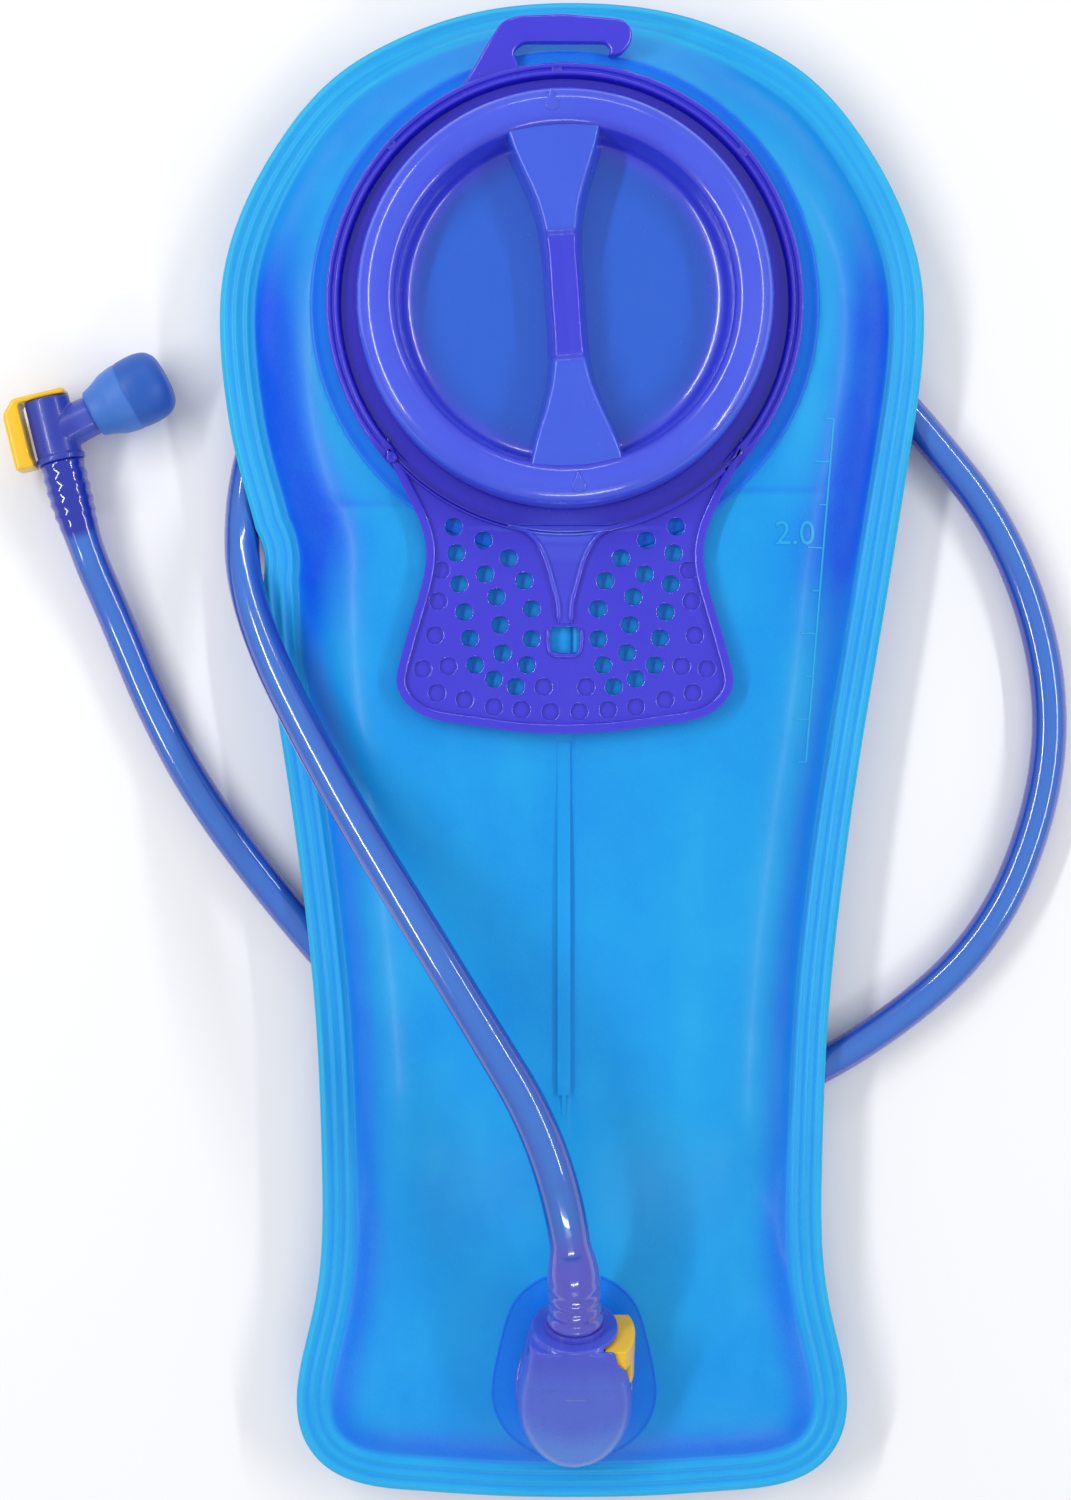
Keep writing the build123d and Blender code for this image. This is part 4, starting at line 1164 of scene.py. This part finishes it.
@dataclass
class FillerPort:
    """The stiff frame on the neck: ring with a double lip, hanging hook and pierced paddle."""

    inner: float = 0.0457
    outer: float = 0.0595
    lip: float = 0.0560
    hole: float = 0.0021
    ring_end: float = 0.0575
    paddle_side: tuple[Flat, ...] = (
        (0.0456, -0.0343), (0.0383, -0.0485), (0.0340, -0.0607), (0.0363, -0.0750), (0.0406, -0.0900),
        (0.0412, -0.0955), (0.0370, -0.1012), (0.0250, -0.1045), (0.0125, -0.1062), (0.0, -0.1068),
    )  # fmt: skip
    holes: tuple[Flat, ...] = (
        (0.0277, -0.0558), (0.0203, -0.0592), (0.0140, -0.0636), (0.0101, -0.0693), (0.0083, -0.0763),
        (0.0083, -0.0838), (0.0095, -0.0903), (0.0122, -0.0957), (0.0271, -0.0624), (0.0199, -0.0676),
        (0.0171, -0.0733), (0.0162, -0.0803), (0.0155, -0.0873), (0.0177, -0.0938), (0.0264, -0.0701),
        (0.0251, -0.0771), (0.0237, -0.0836), (0.0224, -0.0903),
    )  # fmt: skip
    dimples: tuple[Flat, ...] = (
        (0.0309, -0.0667), (0.0316, -0.0744), (0.0324, -0.0829), (0.0354, -0.0913), (0.0291, -0.0906),
        (0.0319, -0.0973), (0.0250, -0.0990), (0.0177, -0.1008), (0.0108, -0.1015), (0.0036, -0.1020),
        (0.0053, -0.0958),
    )  # fmt: skip
    funnel: tuple[Flat, ...] = (
        (0.0150, -0.0555), (0.0098, -0.0570), (0.0066, -0.0602), (0.0044, -0.0650), (0.0030, -0.0700),
        (0.0017, -0.0755), (0.0016, -0.0800),
    )  # fmt: skip
    hook: tuple[Flat, ...] = (
        (-0.0270, 0.0520), (-0.0239, 0.0565), (-0.0189, 0.0653), (-0.0157, 0.0701), (-0.0115, 0.0715),
        (0.0, 0.0719), (0.0145, 0.0706), (0.0169, 0.0681), (0.0167, 0.0648), (0.0140, 0.0616),
        (0.0104, 0.0610), (0.0114, 0.0628), (0.0102, 0.0646), (-0.0105, 0.0646), (-0.0129, 0.0625),
        (-0.0108, 0.0570),
    )  # fmt: skip
    keyhole: tuple[Flat, Flat] = ((0.0, -0.0840), (0.0036, 0.0032))

    def __post_init__(self) -> None:
        """Read the frame's places."""
        low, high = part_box("port_frame")
        neck_low, neck_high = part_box("port_collar")
        centre = (neck_low + neck_high) / 2
        self.centre = (centre.x, centre.y)
        self.base = low.z
        self.top = high.z
        self.place = Matrix.Translation((centre.x, centre.y, 0))

    def circle(self, place: Flat, radius: float, sides: int = 20) -> list[Flat]:
        """Return a round hole's outline."""
        turns = [math.tau * side / sides for side in range(sides)]
        return [(place[0] + radius * math.cos(turn), place[1] + radius * math.sin(turn)) for turn in turns]

    def paddle_loop(self, inset: float = 0.0) -> list[Flat]:
        """Return the paddle's outline, drawn inside its edge by inset."""
        right = smooth_line(list(self.paddle_side), 70)
        heading = np.gradient(right, axis=0)
        heading /= np.linalg.norm(heading, axis=1)[:, None]
        right = right + np.stack([heading[:, 1], -heading[:, 0]], axis=1) * inset
        right = right[right[:, 0] > 1e-5]
        half = [(float(x), float(y)) for x, y in right]
        bottom = [(0.0, self.paddle_side[-1][1] + inset)]
        left = [(-x, y) for x, y in reversed(half)]
        start = math.atan2(half[0][1], half[0][0])
        turns = np.linspace(math.pi - start, math.tau + start, 60)[1:-1]
        radius = self.ring_end + inset * 0.4
        arc = [(radius * math.cos(turn), radius * math.sin(turn)) for turn in turns]
        return half + bottom + left + arc

    def mirrored(self, places: tuple[Flat, ...]) -> list[Flat]:
        """Return the places and their mirror images."""
        return [(side * x, y) for x, y in places for side in (1, -1)]

    def ring(self) -> Mesh:
        """Make the ring, whose double lip runs out into the paddle's edges."""
        plate, lip_top = self.base + 0.0022, self.top
        section = [
            (self.inner, self.base),
            (self.outer, self.base),
            (self.outer, lip_top - 0.0006),
            (self.outer - 0.0004, lip_top),
            (self.outer - 0.0013, lip_top),
            (self.outer - 0.0016, lip_top - 0.0007),
            (self.outer - 0.0019, lip_top - 0.0007),
            (self.outer - 0.0022, lip_top - 0.0001),
            (self.outer - 0.0030, lip_top - 0.0001),
            (self.lip, lip_top - 0.0009),
            (self.lip, plate),
            (self.inner, plate),
        ]
        profile = np.array(rounded(section, 0.00045, 5))
        profile = np.vstack([profile, profile[:1]])
        turns = np.linspace(0, math.tau, 240, endpoint=False)
        from_paddle = np.abs((turns + math.pi / 2 + math.pi) % math.tau - math.pi)
        lip = fade(math.radians(44), math.radians(55), from_paddle)
        radii = profile[:, :1] + 0 * turns
        heights = np.minimum(profile[:, 1:], plate + (lip_top - plate) * lip[None, :])
        rows = np.stack([radii * np.cos(turns), radii * np.sin(turns), heights], axis=2)
        shape = Shape()
        shape.grid(rows, (0.0, 0.0, 0.0, 1.0), wrap=True)
        return shape.mesh("ring")

    def bumps(self) -> Mesh:
        """Make the small gate marks on the lip."""
        shape = Shape()
        for turn in (138.0, 92.0, 40.0, 222.0):
            angle = math.radians(turn)
            middle = self.outer - 0.0017
            spot = (middle * math.cos(angle), middle * math.sin(angle), self.top - 0.0006)
            place = Matrix.Translation(spot)
            dome = [(0.0015, -0.0004), (0.0014, 0.0003), (0.0010, 0.00058), (0.0006, 0.0004), (0.0, 0.00035)]
            shape.lathe(dome, place, (0.1, 0.3, 0.0, 1.0), sides=20)
        return shape.mesh("bumps")

    def ridge(self, line: Array, radius: float, height: float, tint: Colour) -> Mesh:
        """Make a rounded ridge along a flat line.

        Args:
            line: its places.
            radius: its radius.
            height: how high its middle is.
            tint: its tint.
        """
        heading = np.gradient(line, axis=0)
        heading /= np.linalg.norm(heading, axis=1)[:, None]
        side = np.stack([-heading[:, 1], heading[:, 0]], axis=1)
        ends = np.minimum(1, np.sin(np.linspace(0, math.pi, len(line))) * 6 + 0.05)
        rows = []
        for turn in np.linspace(0, math.tau, 14, endpoint=False):
            flat = line + side * (radius * math.cos(turn) * ends)[:, None]
            rows.append(np.column_stack([flat, height + radius * math.sin(turn) * ends]))
        shape = Shape()
        shape.grid(np.array(rows), tint, wrap=False, loop=True)
        return shape.mesh("ridge")

    def spine(self) -> list[Mesh]:
        """Make the funnel that runs from the ring down to the keyhole, with a ridge on each edge."""
        outline = smooth_line(list(self.funnel), 50)
        right = [(float(x), float(y)) for x, y in outline]
        loop = right + [(-x, y) for x, y in reversed(right)]
        floor = rounded_plate([loop], self.base + 0.0006, self.base + 0.0029, 0.0003)
        (kx, ky), (half_x, half_y) = self.keyhole
        cup = [
            (kx + half_x + 0.0005, ky + half_y), (kx + half_x + 0.0006, ky - half_y * 0.2),
            (kx + half_x - 0.0004, ky - half_y - 0.0004), (kx, ky - half_y - 0.0008),
        ]  # fmt: skip
        cup_line = smooth_line(cup + [(-x, y) for x, y in cup[-2::-1]], 50)
        made = [floor, self.ridge(cup_line, 0.00062, self.base + 0.0025, (0.1, 0.3, 0, 1))]
        for side in (1, -1):
            line = outline * (side, 1)
            made.append(self.ridge(line, 0.00075, self.base + 0.0030, (0.1, 0.2, 0, 1)))
        return made

    def tone(self, points: Array) -> Array:
        """Return the frame's tint: painted shade in the groove, under the cap's edge and on the paddle beside
        the ring; paler in the funnel.
        """
        x, y = points[:, 0] - self.centre[0], points[:, 1] - self.centre[1]
        r = np.hypot(x, y)
        from_paddle = np.abs(np.arctan2(x, -y))
        sector = 1 - fade(math.radians(44), math.radians(55), from_paddle)
        groove = 1 - fade(self.lip, self.lip + 0.0004, r)
        # Painted shade: the groove inside the lip and the paddle next to the ring are painted deep.
        deep = groove * 0.95 + (1 - groove) * (0.15 + 0.75 * sector * (1 - fade(self.lip, 0.0660, r)))
        funnel = np.array(self.funnel)
        half = np.interp(-y, -funnel[:, 1], funnel[:, 0])
        length = fade(-0.054, -0.058, y) * fade(-0.0815, -0.080, y)
        inside = (1 - fade(half - 0.0008, half, np.abs(x))) * length
        thin = inside * (0.85 - 0.35 * fade(-0.060, -0.078, y))
        return np.stack([deep * (1 - inside), thin, 0 * r, 1 + 0 * r], axis=1)

    def build(self, paints: Paints) -> None:
        """Make the frame and dress the neck."""
        low = self.base + 0.0004
        through = [self.circle(place, self.hole) for place in self.mirrored(self.holes)]
        (kx, ky), (half_x, half_y) = self.keyhole
        left, right, bottom, top = kx - half_x, kx + half_x, ky - half_y, ky + half_y
        corners = [(left, bottom), (right, bottom), (right, top), (left, top)]
        through.append(rounded(corners, 0.0014, 4))
        blind = [self.circle(place, self.hole) for place in self.mirrored(self.dimples)]
        base, edge = self.base, self.paddle_loop()
        hook = rounded(list(self.hook), 0.0016, 5)
        parts = [
            rounded_plate([edge] + through, low, base + 0.0016, 0.00025),
            rounded_plate([edge] + through + blind, base + 0.0011, base + 0.0025, 0.0003),
            rounded_plate([edge, self.paddle_loop(0.0018)], low, base + 0.0038, 0.0006),
            rounded_plate([hook], base + 0.0006, base + 0.0036, 0.0007),
            self.ring(),
            self.bumps(),
        ]
        parts += self.spine()
        piece = joined("port_frame_moulding", parts, self.place, paints[Finish.FRAME])
        tint_by(piece, self.tone)
        even_normals(piece)
        settle(piece, "root", Finish.FRAME, "port_frame")
        paints.dress("port_collar", Finish.FRAME)


# ---- cap ---------------------------------------------------------------------------------------


@dataclass
class ScrewCap:
    """The wide cap: a recessed cup with an hourglass grip bar, and a skirt with a thread."""

    outer: float = 0.0515
    bore: float = 0.0479
    rim: float = 0.0430
    floor: float = 0.0386
    angle: float = 4.0
    waist: float = 0.0152
    grip_ends: float = 0.0418
    grip_widths: tuple[Flat, ...] = (
        (-0.0435, 0.0118), (-0.036, 0.0098), (-0.027, 0.0064), (-0.0195, 0.0043), (-0.0140, 0.0036),
        (0.0, 0.0035),
        (0.0140, 0.0036), (0.0195, 0.0043), (0.027, 0.0064), (0.036, 0.0098), (0.0435, 0.0118),
    )  # fmt: skip

    def __post_init__(self) -> None:
        """Read the frame's places."""
        low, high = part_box("screw_cap")
        self.low, self.top = low.z, high.z
        self.floor_z = low.z + 0.0018
        centre = (low + high) / 2
        turn = Matrix.Rotation(math.radians(self.angle), 4, "Z")
        self.place = Matrix.Translation((centre.x, centre.y, 0)) @ turn

    def shell(self, shape: Shape) -> None:
        """Add the turned shell: cup, roof, skirt and the thread ridges' band."""
        top, roof = self.top, self.top - 0.0019
        section = [
            (0.0, self.low),
            (self.floor + 0.0016, self.low),
            (self.rim - 0.0004, roof),
            (self.bore, roof),
            (self.bore, self.low),
            (self.outer, self.low),
            (self.outer, top - 0.0040),
            (self.outer - 0.0011, top - 0.0014),
            (self.outer - 0.0034, top - 0.0002),
            (self.outer - 0.0050, top),
            (self.rim + 0.0004, top - 0.0003),
            (self.rim - 0.0014, top - 0.0016),
            (self.floor + 0.0012, self.floor_z + 0.0012),
            (self.floor - 0.0014, self.floor_z),
            (self.floor - 0.0060, self.floor_z - 0.0001),
            (self.floor - 0.0180, self.floor_z + 0.0003),
            (0.0, self.floor_z + 0.0006),
        ]
        profile = rounded(section, 0.0012, 7, closed=False)
        tint = []
        for r, z in profile:
            depth = np.clip((self.top - 0.002 - z) / 0.008, 0, 1)
            on_floor = float(1 - fade(self.floor - 0.004, self.floor + 0.0005, np.array(r)))
            # Painted shade: the recess's sloping wall gets the deep colour; the thin colour on the floor is
            # the plastic's own.
            slope = float(bell(np.array(r), self.rim - 0.0022, 0.0022)) * (z > self.floor_z)
            tint.append((0.85 * slope, on_floor * depth, 0.0, 1.0))
        shape.lathe(profile, self.place, tint, sides=224)

    def grip(self, shape: Shape) -> None:
        """Add the hourglass bar: dished on top, with rounded edges and a lower saddle at its waist."""
        stations = np.linspace(-self.grip_ends, self.grip_ends, 141)
        table = np.array(self.grip_widths)
        fine = smooth_line([tuple(row) for row in table], 400)
        half = np.interp(stations, fine[:, 0], fine[:, 1])
        crest = self.top - 0.0008
        saddle = 0.0013 * (1 - fade(self.waist - 0.0007, self.waist + 0.0009, np.abs(stations)))
        ends = 0.0010 * fade(self.grip_ends - 0.004, self.grip_ends, np.abs(stations))
        rows, tints = [], []
        for y, w, sink, end in zip(stations, half, saddle, ends):
            high = crest - sink - end * 0.4
            edge = min(0.0011, w * 0.3)
            section = [
                (-w - 0.0018, self.floor_z - 0.0006),
                (-w - 0.0005, high - 0.0022),
                (-w, high),
                (-w + edge * 2.2, high - 0.0003),
                (0.0, high - 0.0005),
                (w - edge * 2.2, high - 0.0003),
                (w, high),
                (w + 0.0005, high - 0.0022),
                (w + 0.0018, self.floor_z - 0.0006),
            ]
            smooth = rounded(section, edge, 5, closed=False)
            rows.append([(x, y, z) for x, z in smooth])
            middle = float(1 - fade(self.waist - 0.002, self.waist + 0.003, np.array(abs(y))))
            thin = 0.35 * (1 - middle)
            # The waist's deep top is thicker plastic; the deep colour on the bar's walls is painted shade.
            deep = [0.75 * middle if z > high - 0.002 else 0.45 for _, z in smooth]
            tints.append([(share, thin, 0.0, 1.0) for share in deep])
        net = place_points(np.array(rows).reshape(-1, 3), self.place).reshape(len(rows), -1, 3)
        shape.grid(net, np.array(tints), wrap=False)

    def drops(self, shape: Shape) -> None:
        """Add the two drop-shaped marks on the roof."""
        for side in (1, -1):
            turns = np.linspace(0, math.tau, 40, endpoint=False)
            rows = []
            for scale, lift in ((1.0, -0.0002), (0.93, 0.0002), (0.75, 0.00025), (0.0, 0.00022)):
                pull = 1 + 0.9 * np.clip(np.sin(turns), 0, 1) ** 6
                x = 0.0019 * scale * np.cos(turns) * (1 - 0.45 * np.clip(np.sin(turns), 0, 1))
                y = 0.0019 * scale * np.sin(turns) * pull + side * (self.rim + 0.0038)
                z = np.full_like(x, self.top + lift - 0.0001)
                rows.append(np.stack([x, y, z], axis=1))
            net = place_points(np.array(rows).reshape(-1, 3), self.place).reshape(len(rows), -1, 3)
            shape.grid(net, (0.0, 0.0, 0.0, 1.0), wrap=True)

    def thread(self, shape: Shape) -> None:
        """Add the two thread ridges inside the skirt."""
        lead, rise, depth, half = 0.010, 0.005, 0.0013, 0.0008
        start_z = self.low + 0.00085
        turns = np.linspace(0, rise / lead * math.tau, 80)
        for start in range(2):
            rows = []
            for out, lift in ((0.0003, -half), (-depth, -half / 2), (-depth, half / 2), (0.0003, half)):
                angle = turns + start * math.pi
                z = start_z + turns / math.tau * lead + lift
                taper = np.minimum(1.0, np.minimum(turns, turns[-1] - turns) * 12)
                r = self.bore + np.where(out < 0, out * taper, out)
                rows.append(np.stack([r * np.cos(angle), r * np.sin(angle), z], axis=1))
            net = place_points(np.array(rows).reshape(-1, 3), self.place).reshape(len(rows), -1, 3)
            shape.grid(net, (0.3, 0.0, 0.0, 1.0), wrap=False)

    def build(self, paints: Paints) -> None:
        """Make the cap and dress its gasket."""
        shape = Shape()
        self.shell(shape)
        self.grip(shape)
        self.drops(shape)
        self.thread(shape)
        cap = shape.build("cap_moulding", paints[Finish.CAP])
        settle(cap, "cap", Finish.CAP, "screw_cap")
        paints.dress("cap_gasket", Finish.SEAL)


# ---- outlet ------------------------------------------------------------------------------------


@dataclass
class Outlet:
    """The outlet fitting with its press button, check valve and the hose's plug."""

    bag: Bag
    voxel: float = 0.00032
    plate: float = 0.0012
    bulb: Flat = (0.0152, 0.0192)

    def lay_plate(self, socket: Piece, low: Vector) -> None:
        """Sink the fitting's weld plate under the film, which slopes away from the bulb."""
        count = len(socket.data.vertices)
        points = np.empty(count * 3)
        socket.data.vertices.foreach_get("co", points)
        points = points.reshape(-1, 3)
        film = self.bag.surface(points[:, :2])
        across = (points[:, 0] - self.bag.outlet_x) / self.bulb[0]
        along = (points[:, 1] - low.y - self.bulb[1]) / self.bulb[1]
        outside = fade(0.97, 1.03, np.hypot(across, along)) * (points[:, 2] < low.z + 2 * self.plate)
        points[:, 2] -= outside * np.maximum(0.0, low.z + self.plate - (film - 0.0010))
        socket.data.vertices.foreach_set("co", points.reshape(-1))

    def build(self, paints: Paints) -> None:
        """Make the soft-edged fitting and button, and dress the pieces inside."""
        low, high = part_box("outlet_socket")
        socket = solid_copy("outlet_socket", "outlet_moulding", self.voxel, 8, paints[Finish.OUTLET])
        middle_x = (low.x + high.x) / 2

        def tone(points: Array) -> Array:
            """Return the fitting's tint: lighter at the bulb's rim, deeper on the collar."""
            x, y, z = points[:, 0] - middle_x, points[:, 1], points[:, 2]
            tip = fade(low.y + 0.018, low.y + 0.004, y) * fade(low.z + 0.002, low.z + 0.003, z)
            window = 0.0063 + 0.10 * (y - low.y)
            line = bell(np.abs(x), window, 0.00035) * fade(low.y + 0.003, low.y + 0.006, y)
            line = line * (1 - fade(low.y + 0.014, low.y + 0.018, y)) * fade(low.z + 0.006, low.z + 0.009, z)
            collar = fade(high.y - 0.026, high.y - 0.018, y) * fade(low.z + 0.008, low.z + 0.014, z)
            seam = bell(y, high.y - 0.0262, 0.0003) * fade(low.z + 0.014, low.z + 0.016, z)
            plate = z < low.z + 0.0016
            deep = np.clip(0.25 * collar + 0.6 * plate + 0.5 * line + 0.35 * seam, 0, 1)
            rim = (0.25 + 0.75 * tip * fade(0.004, 0.013, np.hypot(x, y - low.y - 0.018))) * (1 - collar)
            return np.stack([deep, rim * 0.9, 0 * rim, 1 + 0 * rim], axis=1)

        tint_by(socket, tone)
        self.lay_plate(socket, low)
        settle(socket, "root", Finish.OUTLET, "outlet_socket")
        button = solid_copy("latch_button", "latch_button_moulding", 0.00022, 8, paints[Finish.YELLOW])
        settle(button, "latch", Finish.YELLOW, "latch_button")
        paints.dress("latch_spring", Finish.STEEL)
        paints.dress("poppet_spring", Finish.STEEL)
        paints.dress("valve_poppet", Finish.OUTLET)
        paints.dress("hose_plug", Finish.PLUG)
        paints.dress("plug_o_ring", Finish.SEAL)


# ---- shut-off valve ----------------------------------------------------------------------------


@dataclass
class ShutoffValve:
    """The elbow at the hose's end with its yellow lever and the bite valve."""

    stub_start: float = 0.0074
    stub_tilt: float = 13.4

    def __post_init__(self) -> None:
        """Read the valve's place from the lever's joint."""
        joint = next(j for j in frame["joints"] if j["name"] == "lever_turn")
        self.axis = Vector(joint["axis"])
        self.flange = Vector(joint["pos_m"])
        across = Vector((self.axis.y, -self.axis.x, 0))
        turn = Matrix((across, self.axis.cross(across), self.axis)).transposed()
        self.place = Matrix.Translation(self.flange) @ turn.to_4x4()
        tilt = Matrix.Rotation(math.radians(90 - self.stub_tilt), 4, "Y")
        self.stub = self.place @ Matrix.Translation((0, 0, self.stub_start)) @ tilt

    def mouthpiece(self, paints: Paints) -> None:
        """Make the bite valve: a sleeve that swells into a bulb with a bitten crease and a slit."""
        section = [
            (0.0037, 0.0110), (0.0060, 0.0108), (0.0066, 0.0130), (0.0074, 0.0150), (0.0082, 0.0166),
            (0.0087, 0.0190), (0.0089, 0.0208), (0.0088, 0.0214), (0.0090, 0.0221), (0.0092, 0.0250),
            (0.0090, 0.0278), (0.0081, 0.0302), (0.0060, 0.0318), (0.0030, 0.0322), (0.0, 0.0322),
        ]  # fmt: skip
        profile = rounded(section, 0.0012, 4, closed=False)
        # Painted shade: the bulb's front beyond the crease is painted in the dark colour.
        tint = [(float(fade(0.0208, 0.0216, np.array(z))) * 0.9, 0.0, 0.0, 1.0) for _, z in profile]
        shape = Shape()
        shape.lathe(profile, self.stub, tint, sides=72)
        hollow = [(0.0037, 0.0113), (0.0037, 0.0190), (0.0066, 0.0225), (0.0062, 0.0270), (0.0, 0.0300)]
        inner = rounded(hollow, 0.001, 4, closed=False)
        # Painted shade: the hollow's inside is painted dark.
        shape.lathe(inner, self.stub, (0.5, 0.0, 0.0, 1.0), sides=72)
        bulb = shape.build("bite_valve_moulding", paints[Finish.MOUTHPIECE])
        self.press(bulb)
        settle(bulb, "mouthpiece", Finish.MOUTHPIECE, "bite_valve")

    def press(self, bulb: Piece) -> None:
        """Flatten the bulb's tip a little and press its slit in."""
        back = self.stub.inverted()
        for vertex in bulb.data.vertices:
            own = back @ vertex.co
            tip = float(fade(0.022, 0.031, np.array(own.z)))
            own.y *= 1 - 0.10 * tip
            if own.z > 0.0310 and abs(own.x) < 0.0036:
                own.z -= 0.0008 * math.exp(-((own.y / 0.0005) ** 2))
            vertex.co = self.stub @ own

    def build(self, paints: Paints) -> None:
        """Make the body, lever and mouthpiece, and dress the rotor."""
        body = solid_copy("valve_body", "valve_moulding", 0.00024, 3, paints[Finish.VALVE])
        back = np.array(self.place.inverted())

        def tone(points: Array) -> Array:
            """Return the body's tint: deep on the barb, paler on the stub."""
            own = points @ back[:3, :3].T + back[:3, 3]
            barb = 1 - fade(-0.0008, 0.0002, own[:, 2])
            stub = fade(0.004, 0.009, own[:, 0]) * 0.6
            return np.stack([barb, stub, 0 * stub, 1 + 0 * stub], axis=1)

        tint_by(body, tone)
        settle(body, "root", Finish.VALVE, "valve_body")
        lever = solid_copy("shutoff_lever", "lever_moulding", 0.00036, 24, paints[Finish.YELLOW])
        settle(lever, "lever", Finish.YELLOW, "shutoff_lever")
        self.mouthpiece(paints)
        paints.dress("valve_rotor", Finish.VALVE)
        paints.dress("rotor_o_rings", Finish.SEAL)


# ---- studio ------------------------------------------------------------------------------------


@dataclass
class Studio:
    """The pale floor, the soft lights and the camera."""

    eye_height: float = 0.700
    eye_x: float = -0.0093
    seam_height: float = 0.013
    half_view: float = 0.19125
    floor_size: float = 3.0

    def camera(self) -> None:
        """Put the camera straight above the bag."""
        lens = bpy.data.cameras.new("camera")
        lens.sensor_width = 36.0
        lens.lens = lens.sensor_width / 2 * (self.eye_height - self.seam_height) / self.half_view
        eye = bpy.data.objects.new("camera", lens)
        eye.location = (self.eye_x, 0.0, self.eye_height)
        bpy.context.scene.collection.objects.link(eye)
        bpy.context.scene.camera = eye

    def floor(self) -> None:
        """Make the floor."""
        half = self.floor_size / 2
        mesh = bpy.data.meshes.new("studio_floor")
        corners = [(-half, -half, 0), (half, -half, 0), (half, half, 0), (-half, half, 0)]
        mesh.from_pydata(corners, [], [(0, 1, 2, 3)])
        floor = make_object("studio_floor", mesh, FloorFinish().build())
        floor.location.z = -0.0003

    def lamp(self, name: str, place: Point, size: Flat, power: float) -> None:
        """Add a soft rectangular lamp that points at the bag."""
        light = bpy.data.lights.new(name, "AREA")
        light.shape = "RECTANGLE"
        light.size, light.size_y = size
        light.energy = power
        lamp = bpy.data.objects.new(name, light)
        lamp.location = place
        aim = Vector((0, 0.02, 0)) - Vector(place)
        lamp.rotation_mode = "QUATERNION"
        lamp.rotation_quaternion = aim.to_track_quat("-Z", "Y")
        bpy.context.scene.collection.objects.link(lamp)

    def build(self) -> None:
        """Make the whole studio."""
        world = bpy.data.worlds.new("studio")
        world.use_nodes = True
        world.node_tree.nodes["Background"].inputs["Color"].default_value = (0.95, 0.97, 1.0, 1)
        world.node_tree.nodes["Background"].inputs["Strength"].default_value = 0.52
        bpy.context.scene.world = world
        bpy.context.scene.view_settings.view_transform = "Standard"
        self.lamp("key", (-0.62, 0.20, 0.72), (1.0, 0.055), 4.4)
        self.lamp("fill", (0.70, 0.10, 0.62), (1.0, 0.035), 2.8)
        self.lamp("front", (0.10, -0.85, 0.75), (0.5, 0.04), 1.1)
        self.lamp("back", (0.05, 0.95, 0.60), (0.5, 0.035), 1.0)
        self.camera()
        self.floor()


def main() -> None:
    """Build every sub-assembly in order and report it."""
    studio = Studio()
    studio.build()
    paints = Paints()
    LOG.info("finishes: %d", len(paints.materials))
    hose = DrinkHose()
    hose.build(paints)
    LOG.info("hose: %.3f m", hose.length)
    bag = Bag(hose)
    bag.build(paints)
    LOG.info("bag: seam at %.4f m", bag.seam_z)
    for assembly in (FillerPort(), ScrewCap(), Outlet(bag), ShutoffValve()):
        assembly.build(paints)
        LOG.info("built %s", type(assembly).__name__)


if __name__ == "__main__":
    logging.basicConfig(level=logging.INFO)
    main()
